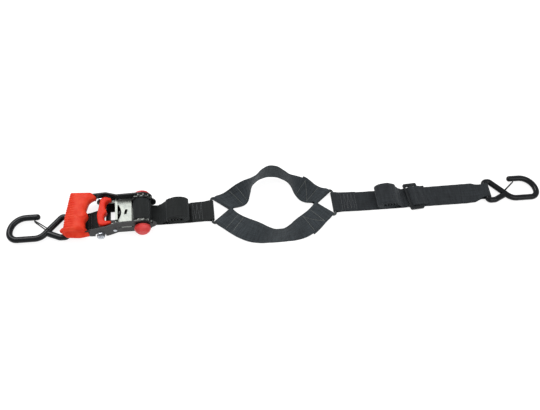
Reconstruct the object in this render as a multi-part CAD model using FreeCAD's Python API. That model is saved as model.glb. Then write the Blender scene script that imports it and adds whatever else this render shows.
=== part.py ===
"""Ratchet tie-down with a wheel loop: buckle, two snap hooks, two rings, two slings and a tri-glide.

Frame: X runs along the strap from the ratchet hook to the adjuster hook, Y across it, Z up.
The origin is on the underside of the ratchet base, straight below the spool axis. Sizes in mm.
"""
import FreeCAD
import Part
import math
import os

Vector = FreeCAD.Vector

# Webbing
WEB_WIDTH = 38.0
WEB_THICK = 1.6
DOUBLE_WEB = 2 * WEB_THICK
FLOOR_GAP = 0.4

# Running and assembly gaps
RUN_GAP = 0.08
SLIDE_GAP = 0.25
LOOP_GAP = 0.3

# Spool, wheels and knobs
AXIS_Z = 18.8
SHAFT_R = 7.5
SHAFT_HALF_LENGTH = 35.0
SLOT_HALF = 1.9
WRAP_R = 14.8
TOOTH_COUNT = 12
TOOTH_TIP_R = 17.0
TOOTH_ROOT_R = 13.9
TOOTH_GAP_TURN = 15.0
TOOTH_ROOT_SHARES = (0.25, 0.58)
TOOTH_TIP_SHARES = (1.05, 1.25)
WHEEL_IN = 22.05
WHEEL_THICK = 2.9
KNOB_R = 13.5
KNOB_RIM_R = 12.7
KNOB_IN = 28.5
KNOB_SHOULDER_R = 11.9
KNOB_FACE_R = 7.5
KNOB_FACE_ROUND = 5.0
NEAR_KNOB = (5.0, 3.4, 41.2)
FAR_KNOB = (3.0, 2.2, 36.0)
WASHER_R = 11.0
WASHER_IN = 27.7
WASHER_THICK = 0.6

# Base: two ears, a floor and a flared fork for the anchor bolt
EAR_IN = 19.8
EAR_THICK = 2.0
EAR_HUB_R = 14.2
EAR_TOP_Z = 14.6
EAR_NOSE_X = 10.5
EAR_NOSE_R = 12.5
EAR_END_R = 7.0
FORK_IN = 27.5
FLARE_START_X = -47.0
FLARE_END_X = -58.0
FLOOR_LEFT_X = -62.0
FLOOR_RIGHT_X = 12.0
FLOOR_THICK = 2.0
WINDOW_LOW = (-54.0, -4.0)
WINDOW_HIGH = (-46.0, 12.0)
ANCHOR_X = -69.0
ANCHOR_Z = 7.6
BOLT_R = 3.0
SLEEVE_R = 4.2
NUT_CORNER_R = 6.6
NUT_THICK = 8.5
NUT_FLANGE_R = 7.0
NUT_FLANGE_THICK = 1.4
HEAD_THICK = 4.0
BOLT_TAIL = 1.6

# Handle: two flared plates, a crossbar, rivets and a spring seat
PLATE_IN = 25.2
PLATE_THICK = 2.3
PLATE_HUB_R = 17.2
PLATE_END_X = -101.0
PLATE_FLARE = [(-41.0, PLATE_IN), (-58.0, 31.0), (-84.0, 32.4), (PLATE_END_X, 32.4)]
CROSSBAR_X = -96.0
CROSSBAR_Z = 18.2
CROSSBAR_R = 3.2
NUT_RELIEF_R = 8.9
RIVET_X = -45.5
RIVET_Z = 12.5
RIVET_DEPTH = 1.9
RIVET_R = 2.0
RIVET_HEAD_R = 3.4
RIVET_HEAD = 0.9

# Release pawl, its pull and its spring seat
PAWL_THICK = 3.0
PAWL_TIP_X = -17.4
PAWL_HALF = 23.8
PAWL_EAR_LEFT_X = -34.0
PAWL_LEG_LEFT_X = -62.0
PAWL_LEG_WIDTH = 4.4
PAWL_SCOOP_R = 22.0
PAWL_SCOOP_X = -56.5
PAWL_HOLE = [(-30.4, -4.2, 1.8), (-26.0, -4.8, 1.8), (-23.4, 4.6, 1.8), (-27.8, 5.2, 1.8)]
PAWL_ENGAGE = 2.5
PAWL_RETRACT = 5.0
SEAT_X = -43.6
SEAT_THICK = 2.0
SEAT_TOP_Z = 27.0
SEAT_LUG = 3.2
SEAT_LUG_THICK = 1.8
SEAT_TONGUE_HALF = 6.5
SEAT_BAR_Z = 23.0
SEAT_TOP_HALF = 17.0
SEAT_FLANGE = 4.0
SEAT_FLANGE_THICK = 1.5
PULL_BOTTOM_Z = 15.2
PULL_TOP_Z = 28.5

# Base lock plate
LOCK_Z = 9.3
LOCK_THICK = 2.5
LOCK_TIP_X = -16.0
LOCK_EAR_LEFT_X = -24.0
LOCK_LEFT_X = -33.0
LOCK_ENGAGE = 2.5
LOCK_RETRACT = 5.0
LOCK_SEAT_X = -42.0
LOCK_SEAT_THICK = 1.6
LOCK_SEAT_ROUND = 0.6

# Springs of the pawl and the lock
SPRING_R = 3.0
SPRING_WIRE_R = 0.45
LOCK_SPRING_TURNS = 5
PAWL_SPRING_TURNS = 4

# Grip
GRIP_BOTTOM_Z = 14.6
GRIP_TOP_Z = 32.0
FOOT_TOP_Z = 24.0

# Hooks and gates
WIRE_R = 5.2
HOOK_Z = 7.4
HOOK_TIP_X = 20.0
HOOK_TIP_Y = 26.3
HOOK_LOW_Y = -13.6
BEND_X = 63.0
BEND_TOP_R = 26.0
BEND_LOW_R = 13.0
NECK_X = 13.0
NECK_R = 22.0
EYE_NECK_X = -20.5
EYE_NECK_R = 6.0
EYE_TURN_X = -18.5
EYE_TURN_R = 9.0
EYE_END = Vector(-4.6, -8.2, 0)
WELD_LENGTH = 6.0
EYE_X = -31.0
EYE_HIGH_Y = 23.0
EYE_LOW_Y = -14.5
EYE_CORNER_R = 5.3
ANCHOR_WEB_WIDTH = 35.0
EYE_WEB_WIDTH = 26.4
EYE_TAPER = 16.0
ANCHOR_STRAP_Y = -6.0
LEFT_CROSS = Vector(-153.3, -18.0, HOOK_Z)
RIGHT_CROSS = Vector(640.0, -4.25, HOOK_Z)
GATE_WIRE_R = 1.0
GATE_GAP = 0.15
GATE_PIVOT_X = 0.6
GATE_OFFSET = WIRE_R + GATE_WIRE_R + GATE_GAP
GATE_LENGTH = 29.5
GATE_ANGLE = 38.5
GATE_PIN_DEPTH = 3.0
GATE_PIN_BEND_R = 1.5
GATE_STRAIGHT = 10.0
GATE_BEND_R = 6.0
GATE_NOSE_HALF = 3.2
GATE_NOSE_R = 2.4

# Rings
RING_WIRE_R = 2.3
RING_Z = 4.5
RING_BAR_HALF = 28.5
RING_DEPTH = 35.0
RING_CORNER_R = 4.0
RING_APEX_R = 6.0
LEFT_RING_X = 116.6
RIGHT_RING_X = 330.0

# Slings: half-diamond bands that lie flat at the rings and stand on edge in the middle
SLING_THICK = 2.4
SLING_END_GAP = 4.2
SLING_SHIFT = 2.0
SLING_EDGE_INSET = 0.8
SLING_SECTIONS = 21
SLING_SQUARE_RATE = 2.25
SLING_MIDDLE_X = (LEFT_RING_X + RIGHT_RING_X) / 2

# Half of each sling, from ring to middle: two bend points of the centre line, then the steepest
# angle of the band, how far along that is reached, and the angle in the middle
NEAR_SLING = (Vector(175.1, -48.7, 0), Vector(199.2, -65.0, 0), 80.6, 0.95, 80.6)
FAR_SLING = (Vector(185.0, 17.0, 0), Vector(193.0, 61.5, 0), 98.0, 0.62, 90.0)

# Rolled webbing
ROLL_TOP_Z = 28.2
LEFT_ROLL = (28.0, 57.0, 79.0)
RIGHT_ROLL = (403.0, 436.0, 452.0)

# Tri-glide
GLIDE_X = 474.0
GLIDE_LENGTH = 26.0
GLIDE_HALF_WIDTH = 26.0
GLIDE_BAR = 4.2
GLIDE_RAIL_IN = 20.5
GLIDE_THICK = 2.8
GLIDE_CORNER_R = 3.0
GLIDE_TURN = 6.5
GLIDE_TILT = 5.0


def mirror_y(shape):
    """The same shape on the other side of the strap's centre plane."""
    return shape.mirror(Vector(0, 0, 0), Vector(0, 1, 0))


def on_floor(a, b):
    """Place a pair in the floor plane, as X and Y."""
    return Vector(a, b, 0)


def on_side(a, b):
    """Place a pair in the side plane, as X and Z."""
    return Vector(a, 0, b)


def corner_arc(before, corner, after, radius):
    """Start, middle and end of the arc that rounds a corner."""
    to_before = (before - corner).normalize()
    to_after = (after - corner).normalize()
    half_angle = to_before.getAngle(to_after) / 2
    reach = radius / math.tan(half_angle)
    bisector = (to_before + to_after).normalize()
    middle = corner + bisector * (radius / math.sin(half_angle) - radius)
    return corner + to_before * reach, middle, corner + to_after * reach


def rounded_path(corners, place, closed):
    """Wire through corners (a, b) or (a, b, radius), with an arc at each corner that has a radius."""
    points = [place(corner[0], corner[1]) for corner in corners]
    radii = [corner[2] if len(corner) > 2 else 0 for corner in corners]
    stops = []
    arcs = []
    for index, point in enumerate(points):
        is_end = not closed and index in (0, len(points) - 1)
        if radii[index] and not is_end:
            start, middle, end = corner_arc(
                points[index - 1], point, points[(index + 1) % len(points)], radii[index]
            )
            arcs.append(Part.Arc(start, middle, end).toShape())
            stops.append((start, end))
        else:
            arcs.append(None)
            stops.append((point, point))
    edges = []
    for index, arc in enumerate(arcs):
        if arc:
            edges.append(arc)
        if index < len(points) - 1 or closed:
            line_start = stops[index][1]
            line_end = stops[(index + 1) % len(points)][0]
            if line_start.distanceToPoint(line_end) > 1e-6:
                edges.append(Part.makeLine(line_start, line_end))
    return Part.Wire(Part.__sortEdges__(edges))


def plan_solid(corners, bottom, top):
    """A plan outline pulled up from bottom to top."""
    face = Part.Face(rounded_path(corners, on_floor, True))
    solid = face.extrude(Vector(0, 0, top - bottom))
    solid.translate(Vector(0, 0, bottom))
    return solid


def side_solid(corners, low_y, high_y):
    """A side outline, in X and Z, pulled across from low_y to high_y."""
    face = Part.Face(rounded_path(corners, on_side, True))
    solid = face.extrude(Vector(0, high_y - low_y, 0))
    solid.translate(Vector(0, low_y, 0))
    return solid


def cross_cylinder(radius, x, z, low_y, high_y):
    """A round bar across the strap."""
    return Part.makeCylinder(radius, high_y - low_y, Vector(x, low_y, z), Vector(0, 1, 0))


def block(low, high):
    """A box between its lowest and highest corners."""
    return Part.makeBox(high[0] - low[0], high[1] - low[1], high[2] - low[2], Vector(*low))


def join(shapes):
    """One solid from touching shapes, with the seams between flush faces removed."""
    solid = shapes[0].fuse(shapes[1:])
    return solid.removeSplitter()


def bent_strip(inner_line, thickness, height):
    """A plate on edge whose inner face follows a plan line of (x, y) points; it thickens towards +Y."""
    outer_line = [(x, y + thickness) for x, y in reversed(inner_line)]
    return plan_solid(list(inner_line) + outer_line, 0, height)


def radial(radius, degrees):
    """X and Z of a point at a radius and angle about the spool axis."""
    angle = math.radians(degrees)
    return (radius * math.cos(angle), AXIS_Z + radius * math.sin(angle))


# ---------------------------------------------------------------- ratchet base


def ear_profile():
    """Side profile of an ear: a long low arm, a hub round the spool and a round nose to the right."""
    left_x = ANCHOR_X - ANCHOR_Z
    reach = FORK_IN + 2 * EAR_THICK
    corners = [
        (left_x, 0, EAR_END_R),
        (EAR_NOSE_X, 0),
        (EAR_NOSE_X, EAR_TOP_Z),
        (left_x, EAR_TOP_Z, EAR_END_R),
    ]
    arm = side_solid(corners, 0, reach)
    hub = cross_cylinder(EAR_HUB_R, 0, AXIS_Z, 0, reach)
    nose = cross_cylinder(EAR_NOSE_R, EAR_NOSE_X, EAR_NOSE_R, 0, reach)
    return arm.fuse([hub, nose])


def base_frame():
    """Floor with a window and two ears that flare at the left into the fork for the anchor bolt."""
    profile = ear_profile()
    left_x = ANCHOR_X - 2 * ANCHOR_Z
    right_x = EAR_NOSE_X + 2 * EAR_NOSE_R
    strip = bent_strip(
        [(left_x, FORK_IN), (FLARE_END_X, FORK_IN), (FLARE_START_X, EAR_IN), (right_x, EAR_IN)],
        EAR_THICK,
        2 * AXIS_Z,
    )
    ear = strip.common(profile)
    ear = ear.cut(cross_cylinder(SHAFT_R + RUN_GAP, 0, AXIS_Z, 0, FORK_IN))
    ear = ear.cut(cross_cylinder(BOLT_R + RUN_GAP, ANCHOR_X, ANCHOR_Z, 0, 2 * FORK_IN))
    lock_slot = block(
        (LOCK_EAR_LEFT_X - LOCK_RETRACT - SLIDE_GAP, 0, LOCK_Z - SLIDE_GAP),
        (LOCK_TIP_X + LOCK_ENGAGE + SLIDE_GAP, FORK_IN, LOCK_Z + LOCK_THICK + SLIDE_GAP),
    )
    ear = ear.cut(lock_slot)
    return join([base_floor(), ear, mirror_y(ear)])


def base_floor():
    """Floor plate that follows the flare of the ears, with a window."""
    near_line = [
        (FLOOR_LEFT_X, -FORK_IN - EAR_THICK / 2),
        (FLARE_END_X, -FORK_IN - EAR_THICK / 2),
        (FLARE_START_X, -EAR_IN - EAR_THICK / 2),
        (FLOOR_RIGHT_X, -EAR_IN - EAR_THICK / 2),
    ]
    far_line = [(x, -y) for x, y in reversed(near_line)]
    window = block((*WINDOW_LOW, 0), (*WINDOW_HIGH, FLOOR_THICK))
    return plan_solid(near_line + far_line, 0, FLOOR_THICK).cut(window)


def anchor_bolt():
    """Bolt across the fork, with a hexagon head on the far side."""
    outer = FORK_IN + EAR_THICK
    shank = cross_cylinder(BOLT_R, ANCHOR_X, ANCHOR_Z, -outer - NUT_THICK - BOLT_TAIL, outer)
    head = hexagon_prism(outer, outer + HEAD_THICK)
    return join([shank, head])


def hexagon_prism(low_y, high_y):
    """Hexagon across the strap, centred on the anchor bolt."""
    corners = []
    for index in range(6):
        angle = math.radians(60 * index)
        x = ANCHOR_X + NUT_CORNER_R * math.cos(angle)
        z = ANCHOR_Z + NUT_CORNER_R * math.sin(angle)
        corners.append((x, z))
    return side_solid(corners, low_y, high_y)


def anchor_nut():
    """Flanged hexagon nut on the near side of the fork."""
    outer = FORK_IN + EAR_THICK
    flange = cross_cylinder(NUT_FLANGE_R, ANCHOR_X, ANCHOR_Z, -outer - NUT_FLANGE_THICK, -outer)
    nut = join([hexagon_prism(-outer - NUT_THICK, -outer), flange])
    return nut.cut(cross_cylinder(BOLT_R, ANCHOR_X, ANCHOR_Z, -2 * outer, 0))


def anchor_sleeve():
    """Tube on the bolt that the fixed strap turns round."""
    length_half = FORK_IN - SLIDE_GAP
    outside = cross_cylinder(SLEEVE_R, ANCHOR_X, ANCHOR_Z, -length_half, length_half)
    return outside.cut(cross_cylinder(BOLT_R + RUN_GAP, ANCHOR_X, ANCHOR_Z, -length_half, length_half))


def lock_plate():
    """Sliding plate whose tip holds the wheels; its ears run in the slots of the base's ears."""
    wide_half = WHEEL_IN + WHEEL_THICK - SLIDE_GAP
    narrow_half = EAR_IN - SLIDE_GAP
    wide = block((LOCK_EAR_LEFT_X, -wide_half, LOCK_Z), (LOCK_TIP_X, wide_half, LOCK_Z + LOCK_THICK))
    narrow = block((LOCK_LEFT_X, -narrow_half, LOCK_Z), (LOCK_TIP_X, narrow_half, LOCK_Z + LOCK_THICK))
    return join([wide, narrow])


def lock_spring_seat():
    """Upright strip across the base floor that backs the lock's spring."""
    left_x = LOCK_SEAT_X - LOCK_SEAT_THICK
    top = LOCK_Z + 2 * LOCK_THICK
    corners = [
        (left_x, FLOOR_THICK),
        (LOCK_SEAT_X, FLOOR_THICK),
        (LOCK_SEAT_X, top, LOCK_SEAT_ROUND),
        (left_x, top, LOCK_SEAT_ROUND),
    ]
    return side_solid(corners, -EAR_IN, EAR_IN)


def coil_spring(start_x, end_x, z, turns):
    """A compression spring along X between two seats."""
    length = end_x - start_x - 2 * SPRING_WIRE_R
    helix = Part.makeHelix(length / turns, length, SPRING_R)
    circle = Part.Circle(Vector(SPRING_R, 0, 0), Vector(0, 1, 0), SPRING_WIRE_R)
    profile = Part.Wire([circle.toShape()])
    spring = Part.Wire(helix.Edges).makePipeShell([profile], True, True)
    spring.rotate(Vector(0, 0, 0), Vector(0, 1, 0), 90)
    spring.translate(Vector(start_x + SPRING_WIRE_R, 0, z))
    return spring


def lock_spring():
    """Spring that pushes the lock plate towards the wheels."""
    return coil_spring(LOCK_SEAT_X, LOCK_LEFT_X, LOCK_Z + LOCK_THICK / 2, LOCK_SPRING_TURNS)


# ---------------------------------------------------------------- spool


def shaft_half(side):
    """One of the two half-round shafts that grip the webbing between their flats."""
    shaft = cross_cylinder(SHAFT_R, 0, AXIS_Z, -SHAFT_HALF_LENGTH, SHAFT_HALF_LENGTH)
    reach = 2 * SHAFT_R
    keep_low = AXIS_Z + SLOT_HALF if side > 0 else AXIS_Z - reach
    keep_high = AXIS_Z + reach if side > 0 else AXIS_Z - SLOT_HALF
    keep = block((-reach, -2 * SHAFT_HALF_LENGTH, keep_low), (reach, 2 * SHAFT_HALF_LENGTH, keep_high))
    return shaft.common(keep)


def ratchet_wheel():
    """Wheel with saw teeth: a steep face, a tip land and a sloped back, with a gap facing the pawl."""
    pitch = 360.0 / TOOTH_COUNT
    corners = []
    for tooth in range(TOOTH_COUNT):
        start = tooth * pitch + TOOTH_GAP_TURN
        for share in TOOTH_ROOT_SHARES:
            corners.append(radial(TOOTH_ROOT_R, start + share * pitch))
        for share in TOOTH_TIP_SHARES:
            corners.append(radial(TOOTH_TIP_R, start + share * pitch))
    wheel = side_solid(corners, WHEEL_IN, WHEEL_IN + WHEEL_THICK)
    return wheel.cut(cross_cylinder(SHAFT_R, 0, AXIS_Z, 0, 2 * WHEEL_IN))


def knob(rim, shoulder, out):
    """Domed cap over the shaft ends, from the width of its rim band and shoulder and its outer face."""
    outline = [
        (0, KNOB_IN),
        (KNOB_RIM_R, KNOB_IN, 0.8),
        (KNOB_R, KNOB_IN + rim, 1.2),
        (KNOB_SHOULDER_R, KNOB_IN + rim + shoulder, 2.0),
        (KNOB_FACE_R, out, KNOB_FACE_ROUND),
        (0, out),
    ]
    face = Part.Face(rounded_path(outline, on_floor, True))
    solid = face.revolve(Vector(0, 0, 0), Vector(0, 1, 0), 360)
    solid.translate(Vector(0, 0, AXIS_Z))
    return solid.cut(cross_cylinder(SHAFT_R, 0, AXIS_Z, 0, SHAFT_HALF_LENGTH))


def axle_washers():
    """Thin washers between the handle plates and the knobs."""
    washer = cross_cylinder(WASHER_R, 0, AXIS_Z, WASHER_IN, WASHER_IN + WASHER_THICK)
    washer = washer.cut(cross_cylinder(SHAFT_R, 0, AXIS_Z, 0, 2 * WASHER_IN))
    return Part.makeCompound([washer, mirror_y(washer)])


def spool_webbing():
    """Webbing wound on the spool, with the turn that passes between the shaft halves."""
    half = WEB_WIDTH / 2
    roll = cross_cylinder(WRAP_R, 0, AXIS_Z, -half, half)
    roll = roll.cut(cross_cylinder(SHAFT_R + RUN_GAP, 0, AXIS_Z, -half, half))
    strip_half = SLOT_HALF - RUN_GAP
    strip = block((-SHAFT_R - 1, -half, AXIS_Z - strip_half), (SHAFT_R + 1, half, AXIS_Z + strip_half))
    return join([roll, strip])


# ---------------------------------------------------------------- handle


def pawl_bottom():
    """Height of the pawl's underside; the pawl points at the spool axis."""
    return AXIS_Z - PAWL_THICK / 2


def handle_plate():
    """Far plate of the handle: a hub, a flared arm with a pawl slot and a relief over the anchor nut."""
    hub = cross_cylinder(PLATE_HUB_R, 0, AXIS_Z, 0, 2 * PLATE_IN)
    arm = side_solid(
        [
            (0, AXIS_Z - PLATE_HUB_R),
            (-50.0, 1.8, 20.0),
            (-84.0, 7.0, 10.0),
            (PLATE_END_X, 13.6, 2.0),
            (PLATE_END_X, 20.0, 2.0),
            (-84.0, 28.0, 12.0),
            (-60.0, 32.8, 40.0),
            (0, AXIS_Z + PLATE_HUB_R),
        ],
        0,
        2 * PLATE_IN,
    )
    right_x = PLATE_HUB_R + 2.0
    strip = bent_strip(list(reversed(PLATE_FLARE)) + [(right_x, PLATE_IN)], PLATE_THICK, 2.2 * AXIS_Z)
    plate = strip.common(hub.fuse(arm))
    plate = plate.cut(cross_cylinder(SHAFT_R + RUN_GAP, 0, AXIS_Z, 0, 2 * PLATE_IN))
    slot = block(
        (PAWL_EAR_LEFT_X - PAWL_RETRACT - SLIDE_GAP, 0, pawl_bottom() - SLIDE_GAP),
        (PAWL_TIP_X + PAWL_ENGAGE + SLIDE_GAP, 2 * PLATE_IN, pawl_bottom() + PAWL_THICK + SLIDE_GAP),
    )
    plate = plate.cut(slot)
    plate = plate.cut(cross_cylinder(NUT_RELIEF_R, ANCHOR_X, ANCHOR_Z, 0, 2 * PLATE_IN))
    plate = plate.cut(cross_cylinder(RIVET_R, RIVET_X, RIVET_Z, 0, 2 * PLATE_IN))
    return plate.cut(cross_cylinder(CROSSBAR_R, CROSSBAR_X, CROSSBAR_Z, 0, 2 * PLATE_IN))


def handle_crossbar():
    """Round bar that ties the plates together inside the grip."""
    half = PLATE_FLARE[-1][1] + PLATE_THICK
    return cross_cylinder(CROSSBAR_R, CROSSBAR_X, CROSSBAR_Z, -half, half)


def handle_spring_seat():
    """Formed strip across the handle that holds the pawl spring and ties the plates at the rivets."""
    half = PLATE_IN - RUN_GAP
    bridge_low = pawl_bottom() + PAWL_THICK + 2 * SLIDE_GAP
    right_x = SEAT_X + SEAT_THICK
    bar = block((SEAT_X, -half, bridge_low), (right_x, half, SEAT_BAR_Z))
    upright = block((SEAT_X, -SEAT_TOP_HALF, bridge_low), (right_x, SEAT_TOP_HALF, SEAT_TOP_Z))
    flange_low = SEAT_TOP_Z - SEAT_FLANGE_THICK
    flange_right_x = SEAT_X + SEAT_FLANGE
    flange = block((SEAT_X, -SEAT_TOP_HALF, flange_low), (flange_right_x, SEAT_TOP_HALF, SEAT_TOP_Z))
    tongue = block((SEAT_X, -SEAT_TONGUE_HALF, PULL_BOTTOM_Z), (right_x, SEAT_TONGUE_HALF, SEAT_TOP_Z))
    lug_top = PULL_BOTTOM_Z - 2 * SLIDE_GAP
    lug = block((RIVET_X - SEAT_LUG, half - SEAT_LUG_THICK, RIVET_Z - SEAT_LUG), (right_x, half, lug_top))
    web = block((SEAT_X, half - SEAT_LUG_THICK / 2, lug_top), (right_x, half, SEAT_BAR_Z))
    side = lug.fuse(web).cut(cross_cylinder(RIVET_R, RIVET_X, RIVET_Z, 0, PLATE_IN))
    return join([bar, upright, flange, tongue, side, mirror_y(side)])


def plate_face_y(x):
    """Distance of the plate's inner face from the centre plane at x, between the first two flare points."""
    start, end = PLATE_FLARE[0], PLATE_FLARE[1]
    share = (start[0] - x) / (start[0] - end[0])
    return start[1] + max(0.0, share) * (end[1] - start[1])


def handle_rivets():
    """Silver rivets that hold the spring seat to the plates."""
    inner = PLATE_IN - RIVET_DEPTH
    outer = plate_face_y(RIVET_X) + PLATE_THICK + RIVET_HEAD
    shank = cross_cylinder(RIVET_R, RIVET_X, RIVET_Z, inner, outer)
    head = cross_cylinder(RIVET_HEAD_R, RIVET_X, RIVET_Z, outer - RIVET_HEAD, outer)
    rivet = join([shank, head]).cut(handle_plate())
    return Part.makeCompound([rivet, mirror_y(rivet)])


def release_pawl():
    """Flat plate with two ears in the plate slots and two legs that carry the pull."""
    low = pawl_bottom()
    high = low + PAWL_THICK
    ear_half = PLATE_IN + PLATE_THICK
    plate = block((PAWL_LEG_LEFT_X, -PAWL_HALF, low), (PAWL_TIP_X, PAWL_HALF, high))
    ears = block((PAWL_EAR_LEFT_X, -ear_half, low), (PAWL_TIP_X, ear_half, high))
    pawl = join([plate, ears])
    scoop = Part.makeCylinder(PAWL_SCOOP_R, PAWL_THICK, Vector(PAWL_SCOOP_X, 0, low))
    inner_half = PAWL_HALF - PAWL_LEG_WIDTH
    scoop = scoop.common(block((PAWL_LEG_LEFT_X - 1, -inner_half, low), (PAWL_TIP_X, inner_half, high)))
    window_right_x = PAWL_SCOOP_X + PAWL_SCOOP_R / 2
    window = block((PAWL_LEG_LEFT_X - 1, -inner_half, low), (window_right_x, inner_half, high))
    hole = plan_solid(PAWL_HOLE, low, high)
    return pawl.cut(scoop).cut(window).cut(hole)


def release_pull():
    """C-shaped finger pull moulded over the pawl's two legs."""
    outline = [
        (-50.0, 24.4, 1.5),
        (-60.0, 28.2, 7.0),
        (-67.5, 24.6, 6.0),
        (-73.4, -6.0, 30.0),
        (-71.0, -24.0, 7.0),
        (-63.0, -26.6, 5.0),
        (-50.5, -23.8, 1.5),
        (-50.5, -18.0, 1.0),
        (-61.5, -18.0, 5.0),
        (-62.0, -8.0, 6.0),
        (-57.0, -0.5, 4.0),
        (-60.0, 8.0, 6.0),
        (-58.5, 19.6, 5.0),
        (-50.0, 19.6, 1.0),
    ]
    pull = plan_solid(outline, PULL_BOTTOM_Z, PULL_TOP_Z)
    return pull.cut(release_pawl())


def pawl_spring():
    """Spring between the handle's seat and the pawl's scooped edge."""
    return coil_spring(SEAT_X + SEAT_THICK, PAWL_SCOOP_X + PAWL_SCOOP_R, AXIS_Z, PAWL_SPRING_TURNS)


def handle_grip():
    """Wide grip over the handle's end, with a finger bulge, a far horn and a flared near foot."""
    body_outline = [
        (-83.0, 37.6, 8.0),
        (-73.6, 27.6, 2.0),
        (-86.5, 20.0, 12.0),
        (-91.6, 2.5, 6.0),
        (-86.2, -6.0, 7.0),
        (-92.6, -16.0, 9.0),
        (-91.0, -33.0, 2.0),
        (-127.6, -33.0, 3.0),
        (-125.0, -6.0, 60.0),
        (-117.0, 39.4, 4.0),
    ]
    foot_outline = [
        (-90.5, -28.0, 1.0),
        (-84.6, -38.6, 2.0),
        (-101.0, -41.0, 20.0),
        (-122.0, -38.8, 8.0),
        (-134.4, -27.4, 2.0),
        (-127.0, -22.0, 2.0),
    ]
    body = plan_solid(body_outline, GRIP_BOTTOM_Z, GRIP_TOP_Z)
    foot = plan_solid(foot_outline, GRIP_BOTTOM_Z, FOOT_TOP_Z)
    grip = join([body, foot])
    plate = handle_plate()
    return grip.cut(plate).cut(mirror_y(plate)).cut(handle_crossbar())


# ---------------------------------------------------------------- hooks, gates and rings


def placed(shape, position, flip):
    """Move a hook part to its crossing point; flip turns it to face the other way along X."""
    if flip:
        shape = shape.mirror(Vector(0, 0, 0), Vector(1, 0, 0))
    shape.translate(position)
    return shape


def pipe(path, radius, start, direction):
    """Round wire swept along a path that starts at start, heading in direction."""
    circle = Part.Circle(start, direction, radius)
    return path.makePipeShell([Part.Wire([circle.toShape()])], True, False)


def hook():
    """Bent wire hook drawn from its crossing point: open bend to +X, webbing eye to -X."""
    eye_turn = Vector(EYE_TURN_X, EYE_LOW_Y, 0)
    corners = [
        (HOOK_TIP_X, HOOK_TIP_Y),
        (BEND_X, HOOK_TIP_Y, BEND_TOP_R),
        (BEND_X, HOOK_LOW_Y, BEND_LOW_R),
        (NECK_X, HOOK_LOW_Y, NECK_R),
        (EYE_NECK_X, EYE_HIGH_Y, EYE_NECK_R),
        (EYE_X, EYE_HIGH_Y, EYE_CORNER_R),
        (EYE_X, EYE_LOW_Y, EYE_CORNER_R),
        (eye_turn.x, eye_turn.y, EYE_TURN_R),
        (EYE_END.x, EYE_END.y),
    ]
    path = rounded_path(corners, on_floor, False)
    tip = Vector(HOOK_TIP_X, HOOK_TIP_Y, 0)
    wire = pipe(path, WIRE_R, tip, Vector(1, 0, 0))
    weld = Part.makeCylinder(WIRE_R, WELD_LENGTH, EYE_END, EYE_END - eye_turn)
    body = join([wire, Part.makeSphere(WIRE_R, tip), weld])
    hole = Part.makeCylinder(GATE_WIRE_R + RUN_GAP, 4 * WIRE_R, Vector(GATE_PIVOT_X, 0, -2 * WIRE_R))
    return body.cut(hole)


def gate():
    """Spring-wire gate: pins in the hook wire, a leg above and below it, and a closed nose."""
    corners = [
        (0, -WIRE_R + GATE_PIN_DEPTH),
        (0, -GATE_OFFSET, GATE_PIN_BEND_R),
        (GATE_STRAIGHT, -GATE_OFFSET, GATE_BEND_R),
        (GATE_LENGTH, -GATE_NOSE_HALF, GATE_NOSE_R),
        (GATE_LENGTH, GATE_NOSE_HALF, GATE_NOSE_R),
        (GATE_STRAIGHT, GATE_OFFSET, GATE_BEND_R),
        (0, GATE_OFFSET, GATE_PIN_BEND_R),
        (0, WIRE_R - GATE_PIN_DEPTH),
    ]
    path = rounded_path(corners, on_side, False)
    start = Vector(0, 0, corners[0][1])
    wire = pipe(path, GATE_WIRE_R, start, Vector(0, 0, 1))
    wire.rotate(Vector(0, 0, 0), Vector(0, 0, 1), GATE_ANGLE)
    wire.translate(Vector(GATE_PIVOT_X, 0, 0))
    return wire


def ring():
    """Triangular wire ring: straight bar across X=0 and two legs that meet at +X."""
    corners = [
        (0, 0),
        (0, RING_BAR_HALF, RING_CORNER_R),
        (RING_DEPTH, 0, RING_APEX_R),
        (0, -RING_BAR_HALF, RING_CORNER_R),
    ]
    path = rounded_path(corners, on_floor, True)
    circle = Part.Circle(Vector(0, 0, 0), Vector(0, 1, 0), RING_WIRE_R)
    face = Part.Face(Part.Wire([circle.toShape()]))
    return path.makePipe(face)


# ---------------------------------------------------------------- webbing


def bar_loop(radius, x, z, low_y, high_y):
    """Webbing turned round a bar of the given radius."""
    return cross_cylinder(radius + LOOP_GAP + WEB_THICK, x, z, low_y, high_y)


def bar_hole(radius, x, z, half):
    """Room for a bar inside its webbing loop."""
    return cross_cylinder(radius + LOOP_GAP, x, z, -half, half)


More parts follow.
